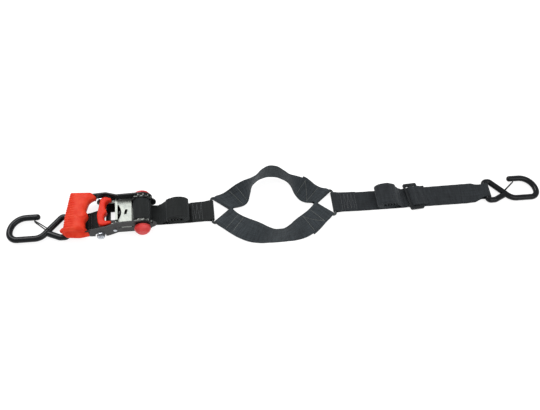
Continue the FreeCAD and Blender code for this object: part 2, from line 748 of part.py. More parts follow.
def fixed_strap():
    """Short sewn strap from the anchor sleeve to the hook eye, slewed a little to the near side."""
    eye_x = LEFT_CROSS.x - EYE_X
    eye_y = LEFT_CROSS.y + (EYE_HIGH_Y + EYE_LOW_Y) / 2
    anchor_half = ANCHOR_WEB_WIDTH / 2
    eye_half = EYE_WEB_WIDTH / 2
    reach = 2 * WEB_WIDTH
    loops = [
        bar_loop(SLEEVE_R, ANCHOR_X, ANCHOR_Z, -reach, reach),
        bar_loop(WIRE_R, eye_x, HOOK_Z, -reach, reach),
        side_solid(
            [
                (ANCHOR_X, ANCHOR_Z - WEB_THICK),
                (ANCHOR_X, ANCHOR_Z + WEB_THICK),
                (eye_x, HOOK_Z + WEB_THICK),
                (eye_x, HOOK_Z - WEB_THICK),
            ],
            -reach,
            reach,
        ),
    ]
    side = join(loops)
    side = side.cut(bar_hole(SLEEVE_R, ANCHOR_X, ANCHOR_Z, reach))
    side = side.cut(bar_hole(WIRE_R, eye_x, HOOK_Z, reach))
    right_x = ANCHOR_X + 2 * SLEEVE_R
    left_x = eye_x - 2 * WIRE_R
    plan = plan_solid(
        [
            (right_x, ANCHOR_STRAP_Y - anchor_half),
            (right_x, ANCHOR_STRAP_Y + anchor_half),
            (ANCHOR_X, ANCHOR_STRAP_Y + anchor_half),
            (eye_x + EYE_TAPER / 2, eye_y + eye_half),
            (left_x, eye_y + eye_half),
            (left_x, eye_y - eye_half),
            (eye_x + EYE_TAPER / 2, eye_y - eye_half),
            (ANCHOR_X, ANCHOR_STRAP_Y - anchor_half),
        ],
        -1,
        2 * AXIS_Z,
    )
    return side.common(plan)


def ratchet_strap():
    """Webbing from below the spool, over its roll, to the sewn loop on the left ring."""
    start_x, crest_x, end_x = LEFT_ROLL
    half = WEB_WIDTH / 2
    top_start = AXIS_Z - WRAP_R - LOOP_GAP
    roll = side_solid(
        [
            (1.0, top_start - WEB_THICK),
            (FLOOR_RIGHT_X + 1.0, top_start - WEB_THICK, 4.0),
            (start_x - 4.0, FLOOR_GAP, 6.0),
            (end_x, FLOOR_GAP, 7.0),
            (end_x, ROLL_TOP_Z, 9.0),
            (crest_x, ROLL_TOP_Z, 14.0),
            (start_x, FLOOR_GAP + 4.0, 12.0),
            (FLOOR_RIGHT_X + 2.0, top_start, 12.0),
            (1.0, top_start),
        ],
        -half,
        half,
    )
    band = block((end_x - 8.0, -half, RING_Z - WEB_THICK), (LEFT_RING_X, half, RING_Z + WEB_THICK))
    strap = join([roll, band, bar_loop(RING_WIRE_R, LEFT_RING_X, RING_Z, -half, half)])
    return strap.cut(bar_hole(RING_WIRE_R, LEFT_RING_X, RING_Z, 2 * half))


def adjuster_strap():
    """Webbing from the right ring, over its roll and under the tri-glide, to the right hook's eye."""
    start_x, crest_x, end_x = RIGHT_ROLL
    half = WEB_WIDTH / 2
    eye_half = EYE_WEB_WIDTH / 2
    eye_x = RIGHT_CROSS.x + EYE_X
    band_top = FLOOR_GAP + DOUBLE_WEB
    roll = side_solid(
        [
            (start_x, FLOOR_GAP, 7.0),
            (end_x, FLOOR_GAP),
            (end_x, band_top),
            (end_x - 5.0, band_top + 1.5, 5.0),
            (crest_x, ROLL_TOP_Z, 14.0),
            (start_x, ROLL_TOP_Z, 9.0),
        ],
        -half,
        half,
    )
    ring_band = block((RIGHT_RING_X, -half, RING_Z - WEB_THICK), (start_x + 8.0, half, RING_Z + WEB_THICK))
    hook_band = side_solid(
        [
            (end_x - 12.0, FLOOR_GAP),
            (eye_x - 24.0, FLOOR_GAP, 20.0),
            (eye_x, HOOK_Z - WEB_THICK),
            (eye_x, HOOK_Z + WEB_THICK),
            (eye_x - 24.0, band_top, 20.0),
            (end_x - 12.0, band_top),
        ],
        -half,
        half,
    )
    taper = plan_solid(
        [
            (start_x, -half),
            (eye_x - 2 * EYE_TAPER, -half),
            (eye_x - EYE_TAPER, -eye_half),
            (eye_x, -eye_half),
            (eye_x, eye_half),
            (eye_x - EYE_TAPER, eye_half),
            (eye_x - 2 * EYE_TAPER, half),
            (start_x, half),
        ],
        0,
        2 * AXIS_Z,
    )
    hook_band = hook_band.common(taper)
    strap = join(
        [
            roll,
            ring_band,
            hook_band,
            bar_loop(RING_WIRE_R, RIGHT_RING_X, RING_Z, -half, half),
            bar_loop(WIRE_R, eye_x, HOOK_Z, -eye_half, eye_half),
        ]
    )
    strap = strap.cut(bar_hole(RING_WIRE_R, RIGHT_RING_X, RING_Z, WEB_WIDTH))
    return strap.cut(bar_hole(WIRE_R, eye_x, HOOK_Z, WEB_WIDTH))


def sling_start(side):
    """Where a sling's centre line leaves its leg of the left ring."""
    leg = Vector(RING_DEPTH, -side * RING_BAR_HALF, 0).normalize()
    away = Vector(-leg.y, leg.x, 0) * side
    leg_middle = Vector(LEFT_RING_X + RING_DEPTH / 2, side * RING_BAR_HALF / 2, 0)
    return leg_middle + leg * SLING_SHIFT + away * SLING_END_GAP


def eased(share):
    """0 up to 0, 1 from 1 on, smooth between."""
    share = min(1.0, max(0.0, share))
    return share * share * (3 - 2 * share)


def weighted_sum(points, weights):
    """Sum of the points, each times its weight."""
    total = Vector(0, 0, 0)
    for point, weight in zip(points, weights):
        total = total + point * weight
    return total


def sling_frame(share, side, shape):
    """Centre, width and travel directions of a sling at share 0 (left ring) to 1 (right ring).

    Both slings stand on the edge that faces the near side, so their widths rise towards +Y.
    """
    first_bend, last_bend, steepest, steepest_at, middle_tilt = shape
    on_left = share < 0.5
    reach = 2 * min(share, 1 - share)
    rest = 1 - reach
    controls = [sling_start(side), first_bend, last_bend, Vector(SLING_MIDDLE_X, last_bend.y, 0)]
    centre = weighted_sum(controls, [rest**3, 3 * rest**2 * reach, 3 * rest * reach**2, reach**3])
    slopes = [-(rest**2), rest**2 - 2 * rest * reach, 2 * rest * reach - reach**2, reach**2]
    travel = weighted_sum(controls, slopes).normalize()
    leg = Vector(-side * RING_DEPTH, RING_BAR_HALF, 0).normalize()
    if not on_left:
        centre.x = 2 * SLING_MIDDLE_X - centre.x
        travel.y = -travel.y
        leg.x = -leg.x
    square = Vector(-travel.y, travel.x, 0)
    freedom = min(1.0, SLING_SQUARE_RATE * reach)
    flat = (leg * (1 - freedom) + square * freedom).normalize()
    settle = (steepest - middle_tilt) * eased((reach - steepest_at) / (1 - steepest_at))
    tilt = math.radians(steepest * eased(reach / steepest_at) - settle)
    width = flat * math.cos(tilt) + Vector(0, 0, 1) * math.sin(tilt)
    lift = RING_Z * (1 - freedom) + (FLOOR_GAP + SLING_THICK / 2) * freedom
    centre.z = lift + WEB_WIDTH / 2 * math.sin(tilt)
    return centre, width, travel


def sling(side, shape):
    """Band lofted through rectangles that turn from flat at the rings to on edge in the middle."""
    sections = []
    for index in range(SLING_SECTIONS):
        centre, width, travel = sling_frame(index / (SLING_SECTIONS - 1), side, shape)
        normal = travel.cross(width).normalize() * (SLING_THICK / 2)
        across = width * (WEB_WIDTH / 2 - SLING_EDGE_INSET)
        corners = [
            centre + across + normal,
            centre - across + normal,
            centre - across - normal,
            centre + across - normal,
        ]
        sections.append(Part.makePolygon(corners + corners[:1]))
    return Part.makeLoft(sections, True, True)


def tri_glide():
    """Flat frame with three cross bars, slewed and tipped a little as it rests on the webbing."""
    low = FLOOR_GAP + DOUBLE_WEB + LOOP_GAP
    high = low + GLIDE_THICK
    left_x = GLIDE_X - GLIDE_LENGTH / 2
    right_x = GLIDE_X + GLIDE_LENGTH / 2
    wide = GLIDE_HALF_WIDTH
    corners = [
        (left_x, -wide, GLIDE_CORNER_R),
        (right_x, -wide, GLIDE_CORNER_R),
        (right_x, wide, GLIDE_CORNER_R),
        (left_x, wide, GLIDE_CORNER_R),
    ]
    plate = plan_solid(corners, low, high)
    slot_length = (GLIDE_LENGTH - 3 * GLIDE_BAR) / 2
    for slot_x in (left_x + GLIDE_BAR, GLIDE_X + GLIDE_BAR / 2):
        slot = block((slot_x, -GLIDE_RAIL_IN, low), (slot_x + slot_length, GLIDE_RAIL_IN, high))
        plate = plate.cut(slot)
    plate.rotate(Vector(right_x, 0, low), Vector(0, 1, 0), GLIDE_TILT)
    plate.rotate(Vector(GLIDE_X, 0, low), Vector(0, 0, 1), GLIDE_TURN)
    return plate


# ---------------------------------------------------------------- export


def all_parts():
    """Every piece in its place, by name."""
    far_plate = handle_plate()
    far_wheel = ratchet_wheel()
    left_ring = ring()
    left_ring.translate(Vector(LEFT_RING_X, 0, RING_Z))
    right_ring = ring().mirror(Vector(0, 0, 0), Vector(1, 0, 0))
    right_ring.translate(Vector(RIGHT_RING_X, 0, RING_Z))
    return {
        "base_frame": base_frame(),
        "anchor_bolt": anchor_bolt(),
        "anchor_nut": anchor_nut(),
        "anchor_sleeve": anchor_sleeve(),
        "lock_plate": lock_plate(),
        "lock_spring": lock_spring(),
        "lock_spring_seat": lock_spring_seat(),
        "spool_shaft_upper": shaft_half(1),
        "spool_shaft_lower": shaft_half(-1),
        "ratchet_wheel_far": far_wheel,
        "ratchet_wheel_near": mirror_y(far_wheel),
        "knob_far": knob(*FAR_KNOB),
        "knob_near": mirror_y(knob(*NEAR_KNOB)),
        "axle_washers": axle_washers(),
        "spool_webbing": spool_webbing(),
        "handle_plate_far": far_plate,
        "handle_plate_near": mirror_y(far_plate),
        "handle_crossbar": handle_crossbar(),
        "handle_rivets": handle_rivets(),
        "handle_spring_seat": handle_spring_seat(),
        "handle_grip": handle_grip(),
        "release_pawl": release_pawl(),
        "release_pull": release_pull(),
        "pawl_spring": pawl_spring(),
        "fixed_strap": fixed_strap(),
        "left_hook": placed(hook(), LEFT_CROSS, True),
        "left_gate": placed(gate(), LEFT_CROSS, True),
        "ratchet_strap": ratchet_strap(),
        "left_ring": left_ring,
        "near_sling": sling(-1, NEAR_SLING),
        "far_sling": sling(1, FAR_SLING),
        "right_ring": right_ring,
        "adjuster_strap": adjuster_strap(),
        "tri_glide": tri_glide(),
        "right_hook": placed(hook(), RIGHT_CROSS, False),
        "right_gate": placed(gate(), RIGHT_CROSS, False),
    }


os.makedirs("parts", exist_ok=True)
for node, shape in all_parts().items():
    shape.exportStep(os.path.join("parts", node + ".step"))
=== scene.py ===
"""Looks of the ratchet tie-down: woven webbing, sculpted grips, stitching, finishes, light and camera.

Lengths are in millimetres until a mesh or a light is made. X runs along the strap, Y across it, Z up.
"""

import math

import bmesh
import bpy
import numpy as np
from mathutils import Matrix, Vector


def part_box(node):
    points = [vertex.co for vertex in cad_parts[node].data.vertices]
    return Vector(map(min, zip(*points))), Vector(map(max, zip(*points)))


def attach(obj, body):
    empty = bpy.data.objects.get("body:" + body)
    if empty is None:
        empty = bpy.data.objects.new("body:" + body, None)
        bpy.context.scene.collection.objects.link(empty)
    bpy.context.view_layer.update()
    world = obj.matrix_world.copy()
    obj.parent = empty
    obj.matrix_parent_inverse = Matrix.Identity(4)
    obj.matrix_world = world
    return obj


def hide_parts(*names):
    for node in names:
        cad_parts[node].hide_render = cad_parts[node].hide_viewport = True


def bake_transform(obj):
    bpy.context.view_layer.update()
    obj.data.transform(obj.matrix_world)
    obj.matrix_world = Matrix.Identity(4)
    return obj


MM = 0.001

# Webbing
WEB_HALF = 19.0
ANCHOR_WEB_HALF = 17.4
EYE_WEB_HALF = 13.1
EYE_TAPER = 18.0
EYE_REACH = 7.0
TAPER_PLACES = 9
WEB_THICK = 1.6
LAYER = (WEB_THICK + 0.1) / 2
LOOP_GAP = 0.25
WEB_STEP = 0.8
SPOOL_PITCH = 3.6
SCALLOP_DEPTH = 0.14
SCALLOP_PITCH = 1.9
RIPPLE_HEIGHT = 0.16
RIPPLE_RATE = 0.37
WARP_PITCH = 1.3
PICK_PITCH = 2.2

# Heights over the floor: the middle of one layer, of the seam between two layers, and of the second layer
FLOOR_LINE = 1.2
SEAM_LINE = FLOOR_LINE + LAYER
SECOND_LINE = FLOOR_LINE + 2 * LAYER
LAYER_STEP = 6.0

# Wires and bars that the webbing turns round
RING_WIRE_R = 2.3
RING_BAR_HALF = 28.5
RING_DEPTH = 35.0
HOOK_WIRE_R = 5.2
SLEEVE_R = 4.2
ANCHOR_STRAP_Y = -6.0
LEFT_EYE_Y = -13.75
SPOOL_WRAP_R = 14.8
SHAFT_R = 7.5

# Rolls of spare webbing, measured from their steep side: outer turn, and what each turn inward loses
ROLL_TURNS = 5.5
ROLL_LENGTH = 41.2
ROLL_STEEP_LOSS = 1.75
ROLL_SLOPE_LOSS = 5.0
ROLL_MIDDLE_Z = 15.2
ROLL_HALF_HEIGHT = 12.2
ROLL_PLY = 1.72
ROLL_SLOPE = [(50.2, 3.0), (47.0, 4.4), (43.0, 8.6), (33.0, 19.2), (27.0, 25.0)]

# Sewn loops: distance from the bar to where the layers meet, and the way down to the floor as
# (distance from the bar, height)
RING_STITCH = 13.0
RING_RAMP = (18.0, 3.1)
EYE_STITCH = 17.0
EYE_RAMP = ((17.0, 4.6), (40.0, SEAM_LINE))

# Ratchet strap, along X: flat below the spool, down to the floor, seam lines, cut end, steep side of the roll
SPOOL_FLAT = (1.0, 13.0)
SPOOL_SLOPE = [(21.0, 1.8), (27.0, FLOOR_LINE)]
RATCHET_SEAMS = (84.0, 99.5)
RATCHET_CUT = 80.5
RATCHET_ROLL = 77.2

# Adjuster strap, along X: cut end at the ring, step up to the second layer, steep side of the roll
ADJUSTER_CUT = 372.0
ADJUSTER_STEP = [(455.0, FLOOR_LINE), (463.5, SECOND_LINE)]
ADJUSTER_ROLL = 404.0

# Adjuster strap, measured back from the hook's eye: end of the upper layer, and the layer below it
EYE_UPPER_END = 120.0
EYE_LOWER = (40.0, 144.5)

# Fixed strap: where the layers meet at its two ends, and its seam lines from the sleeve
SLEEVE_STITCH = 15.0
FIXED_EYE_STITCH = 16.0
FIXED_SEAMS = (15.5, 19.5)

# Slings
SLING_END_GAP = 4.2
SLING_SHIFT = 3.4

# Half of each sling, from ring to middle: two bend points of the centre line, then the steepest
# angle of the band, how far along that is reached, and the angle in the middle
SLING_SHAPE = {
    -1: ((175.1, -48.7), (199.2, -65.0), math.radians(80.6), 0.95, math.radians(80.6)),
    1: ((185.0, 17.0), (193.0, 61.5), math.radians(98.0), 0.62, math.radians(90.0)),
}
SLING_REST_Z = 1.9
SLING_SAMPLES = 400
SLING_FREE_RATE = 2.25
SLING_STITCH = 17.0
SLING_CUT = 47.0
SLING_MEET = SLING_STITCH + 3.0
SLING_SINGLE = SLING_CUT + 14.0

# Side of each sling, how far its two tails lean, and its first seam line
SLING_SEWING = {
    "near_sling": (-1, (0.0, -2.4), 18.0),
    "far_sling": (1, (-2.4, 2.2), 26.0),
}

# Thread
THREAD_R = 0.38
THREAD_SIDES = 6
THREAD_SEAT = WEB_THICK + 0.05
STITCH_PITCH = 2.8
STITCH_HALF = 17.0
ZIGZAG_HALF = 15.0
FIXED_STITCH_HALF = 14.0
SLING_STITCH_HALF = 16.5
STITCH_SKEW = 1.5

# One stitch: shares of its length, with heights in thread radii
STITCH_SHAPE = ((0.06, -1.2), (0.22, 0.35), (0.5, 0.6), (0.78, 0.35), (0.94, -1.2))

# Moulded pieces
GRIP_LOW, GRIP_HIGH, FOOT_HIGH = 14.6, 32.0, 24.6
SKIRT_START, SKIRT_RUN, SKIRT_RIM = 33.5, 7.0, 0.35
PULL_LOW, PULL_HIGH = 15.2, 28.5
RIB_PITCH = 4.4
RIB_DEPTH = 1.3
RIB_END_X = (-113.5, -105.0)
RIB_NEAR_Y = (-34.5, -32.5)
RIB_FAR_Y = (35.5, 38.0)
PAD_CENTRE = np.array([-97.5, -3.0])
PAD_SIZE = np.array([9.0, 8.0])
PAD_HEIGHT = 0.7

# How each moulding is rounded over: width of its rim, and the share of its height at the outline
BODY_CROWN = (9.0, 0.35)
FOOT_CROWN = (2.0, 0.6)
PULL_CROWN = (3.0, 0.68)
SKIN_SMOOTHING = 5

# Tri-glide, as it rests on the webbing, and the (x, z) line of its own webbing from its middle
GLIDE_TURN = math.radians(6.5)
GLIDE_TILT = math.radians(5.0)
GLIDE_LINE = [
    (-6.6, -1.6),
    (-4.8, 0.4),
    (-3.2, 2.6),
    (0.0, 3.2),
    (3.4, 2.4),
    (5.6, 0.6),
    (8.4, 1.6),
    (11.5, 2.4),
    (14.6, 1.3),
    (19.5, -0.4),
    (26.0, -0.2),
]

# Floor, just under the object
FLOOR_HALF = 4000.0
FLOOR_Z = -0.3

# Camera
LOOK_AT = (218.1, 5.5, 0.0)
DISTANCE = 1133.0
YAW = math.radians(-13.8)
ELEVATION = math.radians(60.7)
ROLL = math.radians(8.2)
LENS = 43.3
SENSOR = 36.0


# ---------------------------------------------------------------- mesh helpers


def new_object(name, points, faces):
    """A smooth-shaded object from points in millimetres."""
    mesh = bpy.data.meshes.new(name)
    mesh.from_pydata((np.asarray(points) * MM).tolist(), [], faces)
    mesh.update()
    mesh.shade_smooth()
    obj = bpy.data.objects.new(name, mesh)
    bpy.context.scene.collection.objects.link(obj)
    return obj


def unit(vectors):
    """The same vectors with length 1."""
    return vectors / np.linalg.norm(vectors, axis=-1, keepdims=True)


def line_lengths(points):
    """Distance along a line at each of its points."""
    steps = np.linalg.norm(np.diff(points, axis=0), axis=1)
    return np.concatenate([[0.0], np.cumsum(steps)])


def columns_at(where, known, table):
    """Each column of a table, read between its known places."""
    return np.stack([np.interp(where, known, column) for column in table.T], axis=1)


def even_line(points, spacing):
    """The same line with its points at even spacing."""
    points = np.asarray(points, float)
    lengths = line_lengths(points)
    count = max(2, round(lengths[-1] / spacing) + 1)
    return columns_at(np.linspace(0, lengths[-1], count), lengths, points)


def soft_line(points, spacing, passes):
    """An even line whose corners are eased, while its ends stay."""
    line = even_line(points, spacing)
    for _ in range(passes):
        line[1:-1] = (line[:-2] + 2 * line[1:-1] + line[2:]) / 4
    return even_line(line, spacing)


def in_side_plane(pairs, y=0.0):
    """Points (x, z) as points (x, y, z)."""
    return np.array([(x, y, z) for x, z in pairs], float)


# ---------------------------------------------------------------- webbing bands


def band_section():
    """Corners of the woven section: side, inset from the edge, height as a share of half the thickness."""
    edge = [(0.0, 0.0), (0.22, 0.7), (0.8, 1.12), (1.7, 0.98)]
    middle = [(share, 0.0, 1.0) for share in np.linspace(-0.78, 0.78, 8)]
    left = [(-1.0, inset, height) for inset, height in edge]
    right = [(1.0, inset, height) for inset, height in reversed(edge)]
    top = left + middle + right
    bottom = [(share, inset, -height) for share, inset, height in reversed(top[1:-1])]
    return np.array(top + bottom)


def band(name, centres, acrosses, halves, phase=0.0):
    """Webbing swept along a centre line, with thick selvages, a scalloped edge and weave coordinates."""
    section = band_section()
    tangents = unit(np.gradient(centres, axis=0))
    normals = unit(np.cross(tangents, acrosses))
    along = line_lengths(centres)
    sides = np.sign(section[:, 0]) * section[:, 1]
    across = section[:, 0][None, :] * halves[:, None] - sides[None, :]
    on_edge = (np.abs(section[:, 0]) == 1.0) & (section[:, 1] < 0.5)
    scallop = SCALLOP_DEPTH * np.cos(2 * math.pi * along / SCALLOP_PITCH)
    across = across + on_edge * np.sign(section[:, 0]) * scallop[:, None]
    height = section[:, 2][None, :] * WEB_THICK / 2
    ripple = RIPPLE_HEIGHT * np.sin(along * RIPPLE_RATE + phase)[:, None] * (across / WEB_HALF) ** 2
    points = (
        centres[:, None, :]
        + acrosses[:, None, :] * across[:, :, None]
        + normals[:, None, :] * (height + ripple)[:, :, None]
    )
    rows, cols = across.shape
    corners = np.arange(rows * cols).reshape(rows, cols)
    ahead = np.roll(corners, -1, axis=1)
    quads = np.stack([corners[:-1], corners[1:], ahead[1:], ahead[:-1]], axis=-1)
    faces = quads.reshape(-1, 4).tolist()
    faces.append(corners[0].tolist())
    faces.append(corners[-1][::-1].tolist())
    obj = new_object(name, points.reshape(-1, 3), faces)
    add_attribute(obj, "along", np.repeat(along, cols))
    add_attribute(obj, "across", np.broadcast_to(across, (rows, cols)).ravel())
    return obj


def add_attribute(obj, name, values):
    """A number at each vertex, for the materials to read."""
    attribute = obj.data.attributes.new(name, "FLOAT", "POINT")
    attribute.data.foreach_set("value", np.asarray(values, np.float32))


class Guide:
    """A centre line with width directions, which places points along, across and above it."""

    def __init__(self, centres, acrosses):
        self.centres = centres
        self.acrosses = acrosses
        self.lengths = line_lengths(centres)
        self.tangents = unit(np.gradient(centres, axis=0))
        self.normals = unit(np.cross(self.tangents, acrosses))

    def across_at(self, along):
        return unit(columns_at(along, self.lengths, self.acrosses))

    def normal_at(self, along):
        return unit(columns_at(along, self.lengths, self.normals))

    def place(self, spots):
        """Points in space for rows of (along, across, above)."""
        spots = np.asarray(spots, float)
        along = spots[:, 0]
        before = np.minimum(along, 0.0)[:, None] * self.tangents[0]
        after = np.maximum(along - self.lengths[-1], 0.0)[:, None] * self.tangents[-1]
        centre = columns_at(along, self.lengths, self.centres) + before + after
        sideways = self.across_at(along) * spots[:, 1:2]
        return centre + sideways + self.normal_at(along) * spots[:, 2:3]


def loop_spots(bar_radius, stitch_at):
    """Spots from the lower layer at stitch_at, round a bar at 0, to the upper layer at stitch_at."""
    reach = bar_radius + LOOP_GAP + WEB_THICK / 2
    touch = math.atan2(LAYER, stitch_at) + math.acos(reach / math.hypot(stitch_at, LAYER))
    turn = np.linspace(-touch, touch - 2 * math.pi, 30)
    arc = [(reach * math.cos(angle), 0.0, reach * math.sin(angle)) for angle in turn]
    return [(stitch_at, 0.0, -LAYER)] + arc + [(stitch_at, 0.0, LAYER)]


def straight_guide(bar, to, width_direction):
    """A guide from a bar along (x, z) points, for webbing whose width runs along Y."""
    centres = even_line(in_side_plane([bar] + to), WEB_STEP)
    return Guide(centres, np.tile([0.0, width_direction, 0.0], (len(centres), 1)))


def spool_line(centre, outer, core):
    """Webbing wound on the spool from both sides of its slot, as (x, z) points."""
    winding = 2 * math.pi * (outer - core) / SPOOL_PITCH
    angle = np.linspace(0, winding, 400)
    radius = core + (outer - core) * angle / winding
    arm = np.stack([radius * np.cos(angle), radius * np.sin(angle)], axis=1)
    return np.concatenate([centre - arm[::-1], centre + arm])


def roll_line(steep_x, inward):
    """A roll that leans: up its slope, over the top, down the steep side and round towards the middle."""
    turns = np.linspace(0, ROLL_TURNS, 420)
    angle = math.pi / 2 - 2 * math.pi * turns
    steep = ROLL_STEEP_LOSS * turns
    slope = ROLL_LENGTH - ROLL_SLOPE_LOSS * turns
    distance = (slope + steep) / 2 - (slope - steep) / 2 * np.cos(angle)
    height = ROLL_MIDDLE_Z + (ROLL_HALF_HEIGHT - ROLL_PLY * turns) * np.sin(angle)
    wound = list(zip(distance, height))
    return [(steep_x + inward * away, z) for away, z in ROLL_SLOPE + wound]


def flat_band(name, pairs, halves_at=None, y_at=None, phase=0.0, passes=12):
    """A band along (x, z) points; width and sideways drift may change along X."""
    centres = soft_line(in_side_plane(pairs), WEB_STEP, passes)
    halves = np.full(len(centres), WEB_HALF)
    if halves_at:
        halves = np.interp(centres[:, 0], *halves_at)
    if y_at:
        centres[:, 1] = np.interp(centres[:, 0], *y_at)
    acrosses = np.tile([0.0, 1.0, 0.0], (len(centres), 1))
    return band(name, centres, acrosses, halves, phase)


def narrowed(start, end, first, last):
    """Places along X with half widths that change smoothly from first to last."""
    places = np.linspace(start, end, TAPER_PLACES)
    return places, first + (last - first) * fade(places, start, end)


def xz(points):
    """The (x, z) pairs of points in space."""
    return [(x, z) for x, _, z in points]


# ---------------------------------------------------------------- stitching


def thread_run(guide, spots, above):
    """Short stitches along a line of (along, across) spots; each one dips into the webbing at both ends."""
    line = even_line(np.array(spots, float), STITCH_PITCH)
    rise = np.sign(above) * THREAD_R
    stitches = []
    for start, end in zip(line[:-1], line[1:]):
        steps = [(start + (end - start) * share, above + rise * height) for share, height in STITCH_SHAPE]
        stitches.append(guide.place([(*spot, height) for spot, height in steps]))
    return stitches


def thread_object(name, stitches):
    """All the stitches of a piece as thin tubes."""
    points, faces = [], []
    sides = THREAD_SIDES
    for stitch in stitches:
        tangents = unit(np.gradient(stitch, axis=0))
        helper = np.array([0.31, 0.22, 0.93])
        first = unit(np.cross(tangents, helper))
        second = np.cross(tangents, first)
        base = len(points)
        for row in range(len(stitch)):
            for corner in range(sides):
                angle = 2 * math.pi * corner / sides
                spoke = first[row] * math.cos(angle) + second[row] * math.sin(angle)
                points.append(stitch[row] + spoke * THREAD_R)
        for row in range(len(stitch) - 1):
            for corner in range(sides):
                here = base + row * sides
                nxt = (corner + 1) % sides
                faces.append([here + corner, here + nxt, here + sides + nxt, here + sides + corner])
        faces.append([base + corner for corner in reversed(range(sides))])
        faces.append([base + (len(stitch) - 1) * sides + corner for corner in range(sides)])
    return new_object(name, points, faces)


def cross_line(along, half, skew=0.0):
    """A stitch line across the webbing."""
    return [(along - skew, -half), (along + skew, half)]


def zigzag(first, last, half, turns):
    """A zigzag between two places along the webbing."""
    count = 2 * turns
    return [
        (first + (last - first) * step / count, half if step % 2 else -half) for step in range(count + 1)
    ]


def both_faces(guide, lines):
    """The same stitch lines on the upper and the lower face of two layers."""
    stitches = []
    for line in lines:
        for above in (THREAD_SEAT, -THREAD_SEAT):
            stitches.extend(thread_run(guide, line, above))
    return stitches


# ---------------------------------------------------------------- the straps


def box_mm(node):
    """Low and high corners of a CAD node, in millimetres."""
    low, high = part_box(node)
    return np.array(low) / MM, np.array(high) / MM


def ring_bar(node, side):
    """(x, z) of a ring's straight bar; side is -1 for the bar at the low X end."""
    low, high = box_mm(node)
    x = low[0] + RING_WIRE_R if side < 0 else high[0] - RING_WIRE_R
    return x, (low[2] + high[2]) / 2


def hook_eye(node, side):
    """(x, z) of the bar across a hook's eye; side is -1 for the bar at the low X end."""
    low, high = box_mm(node)
    x = low[0] + HOOK_WIRE_R if side < 0 else high[0] - HOOK_WIRE_R
    return x, (low[2] + high[2]) / 2


def ratchet_strap():
    """From below the spool along the floor to the loop on the left ring, with the roll standing on it."""
    bar = ring_bar("left_ring", -1)
    spool_z = box_mm("spool_webbing")[0][2] - LOOP_GAP - WEB_THICK / 2
    ramp_run, ramp_z = RING_RAMP
    towards_spool = [(bar[0] - ramp_run, ramp_z), (RATCHET_CUT, SEAM_LINE), (SPOOL_FLAT[0], SEAM_LINE)]
    guide = straight_guide(bar, towards_spool, -1.0)
    loop = guide.place(loop_spots(RING_WIRE_R, RING_STITCH))
    tail = guide.place([(bar[0] - RATCHET_CUT, 0.0, LAYER)])
    below_spool = [(x, spool_z) for x in SPOOL_FLAT]
    arrival = below_spool + SPOOL_SLOPE + [(RATCHET_CUT - LAYER_STEP, FLOOR_LINE)]
    strap = flat_band("ratchet_webbing", arrival + xz(loop) + xz(tail), phase=0.4)
    roll = flat_band("ratchet_roll", roll_line(RATCHET_ROLL, -1.0), phase=2.2, passes=3)
    last, first = (bar[0] - x for x in RATCHET_SEAMS)
    lines = [
        cross_line(first, STITCH_HALF),
        cross_line(last, STITCH_HALF),
        zigzag(first + 1.5, last - 1.0, ZIGZAG_HALF, 2),
    ]
    threads = thread_object("ratchet_stitches", both_faces(guide, lines))
    return finish_strap([strap, roll], threads, "spool_strap", "ratchet_strap")


def adjuster_strap():
    """From the right ring, below the roll, along to the hook's eye and back below itself."""
    bar = ring_bar("right_ring", 1)
    eye = hook_eye("right_hook", -1)
    ramp_run, ramp_z = RING_RAMP
    step_x = ADJUSTER_STEP[0][0]
    from_ring = [(bar[0] + ramp_run, ramp_z), (ADJUSTER_CUT, SEAM_LINE), (step_x, SEAM_LINE)]
    ring_guide = straight_guide(bar, from_ring, 1.0)
    ring_loop = ring_guide.place(loop_spots(RING_WIRE_R, RING_STITCH)[::-1])
    tail = ring_guide.place([(ADJUSTER_CUT - bar[0], 0.0, LAYER)])
    from_eye = [(eye[0] - run, z) for run, z in EYE_RAMP] + [(step_x, SEAM_LINE)]
    eye_guide = straight_guide(eye, from_eye, -1.0)
    eye_loop = eye_guide.place(loop_spots(HOOK_WIRE_R, EYE_STITCH)[::-1])
    line = (
        xz(tail)
        + xz(ring_loop)
        + [(ADJUSTER_CUT + LAYER_STEP, FLOOR_LINE)]
        + ADJUSTER_STEP
        + xz(eye_guide.place([(EYE_UPPER_END, 0.0, LAYER)]))
        + xz(eye_loop)
        + xz(eye_guide.place([(back, 0.0, -LAYER) for back in EYE_LOWER]))
    )
    taper_end = eye[0] - EYE_REACH
    halves_at = narrowed(taper_end - EYE_TAPER, taper_end, WEB_HALF, EYE_WEB_HALF)
    strap = flat_band("adjuster_webbing", line, halves_at=halves_at, phase=1.7)
    roll = flat_band("adjuster_roll", roll_line(ADJUSTER_ROLL, 1.0), phase=4.0, passes=3)
    lines = [
        cross_line(RING_STITCH + 0.5, STITCH_HALF),
        cross_line(ADJUSTER_CUT - bar[0] - 3.0, STITCH_HALF),
        zigzag(RING_STITCH + 4.0, RING_STITCH + 23.0, ZIGZAG_HALF, 3),
    ]
    threads = thread_object("adjuster_stitches", both_faces(ring_guide, lines))
    return finish_strap([strap, roll], threads, "long_strap", "adjuster_strap")


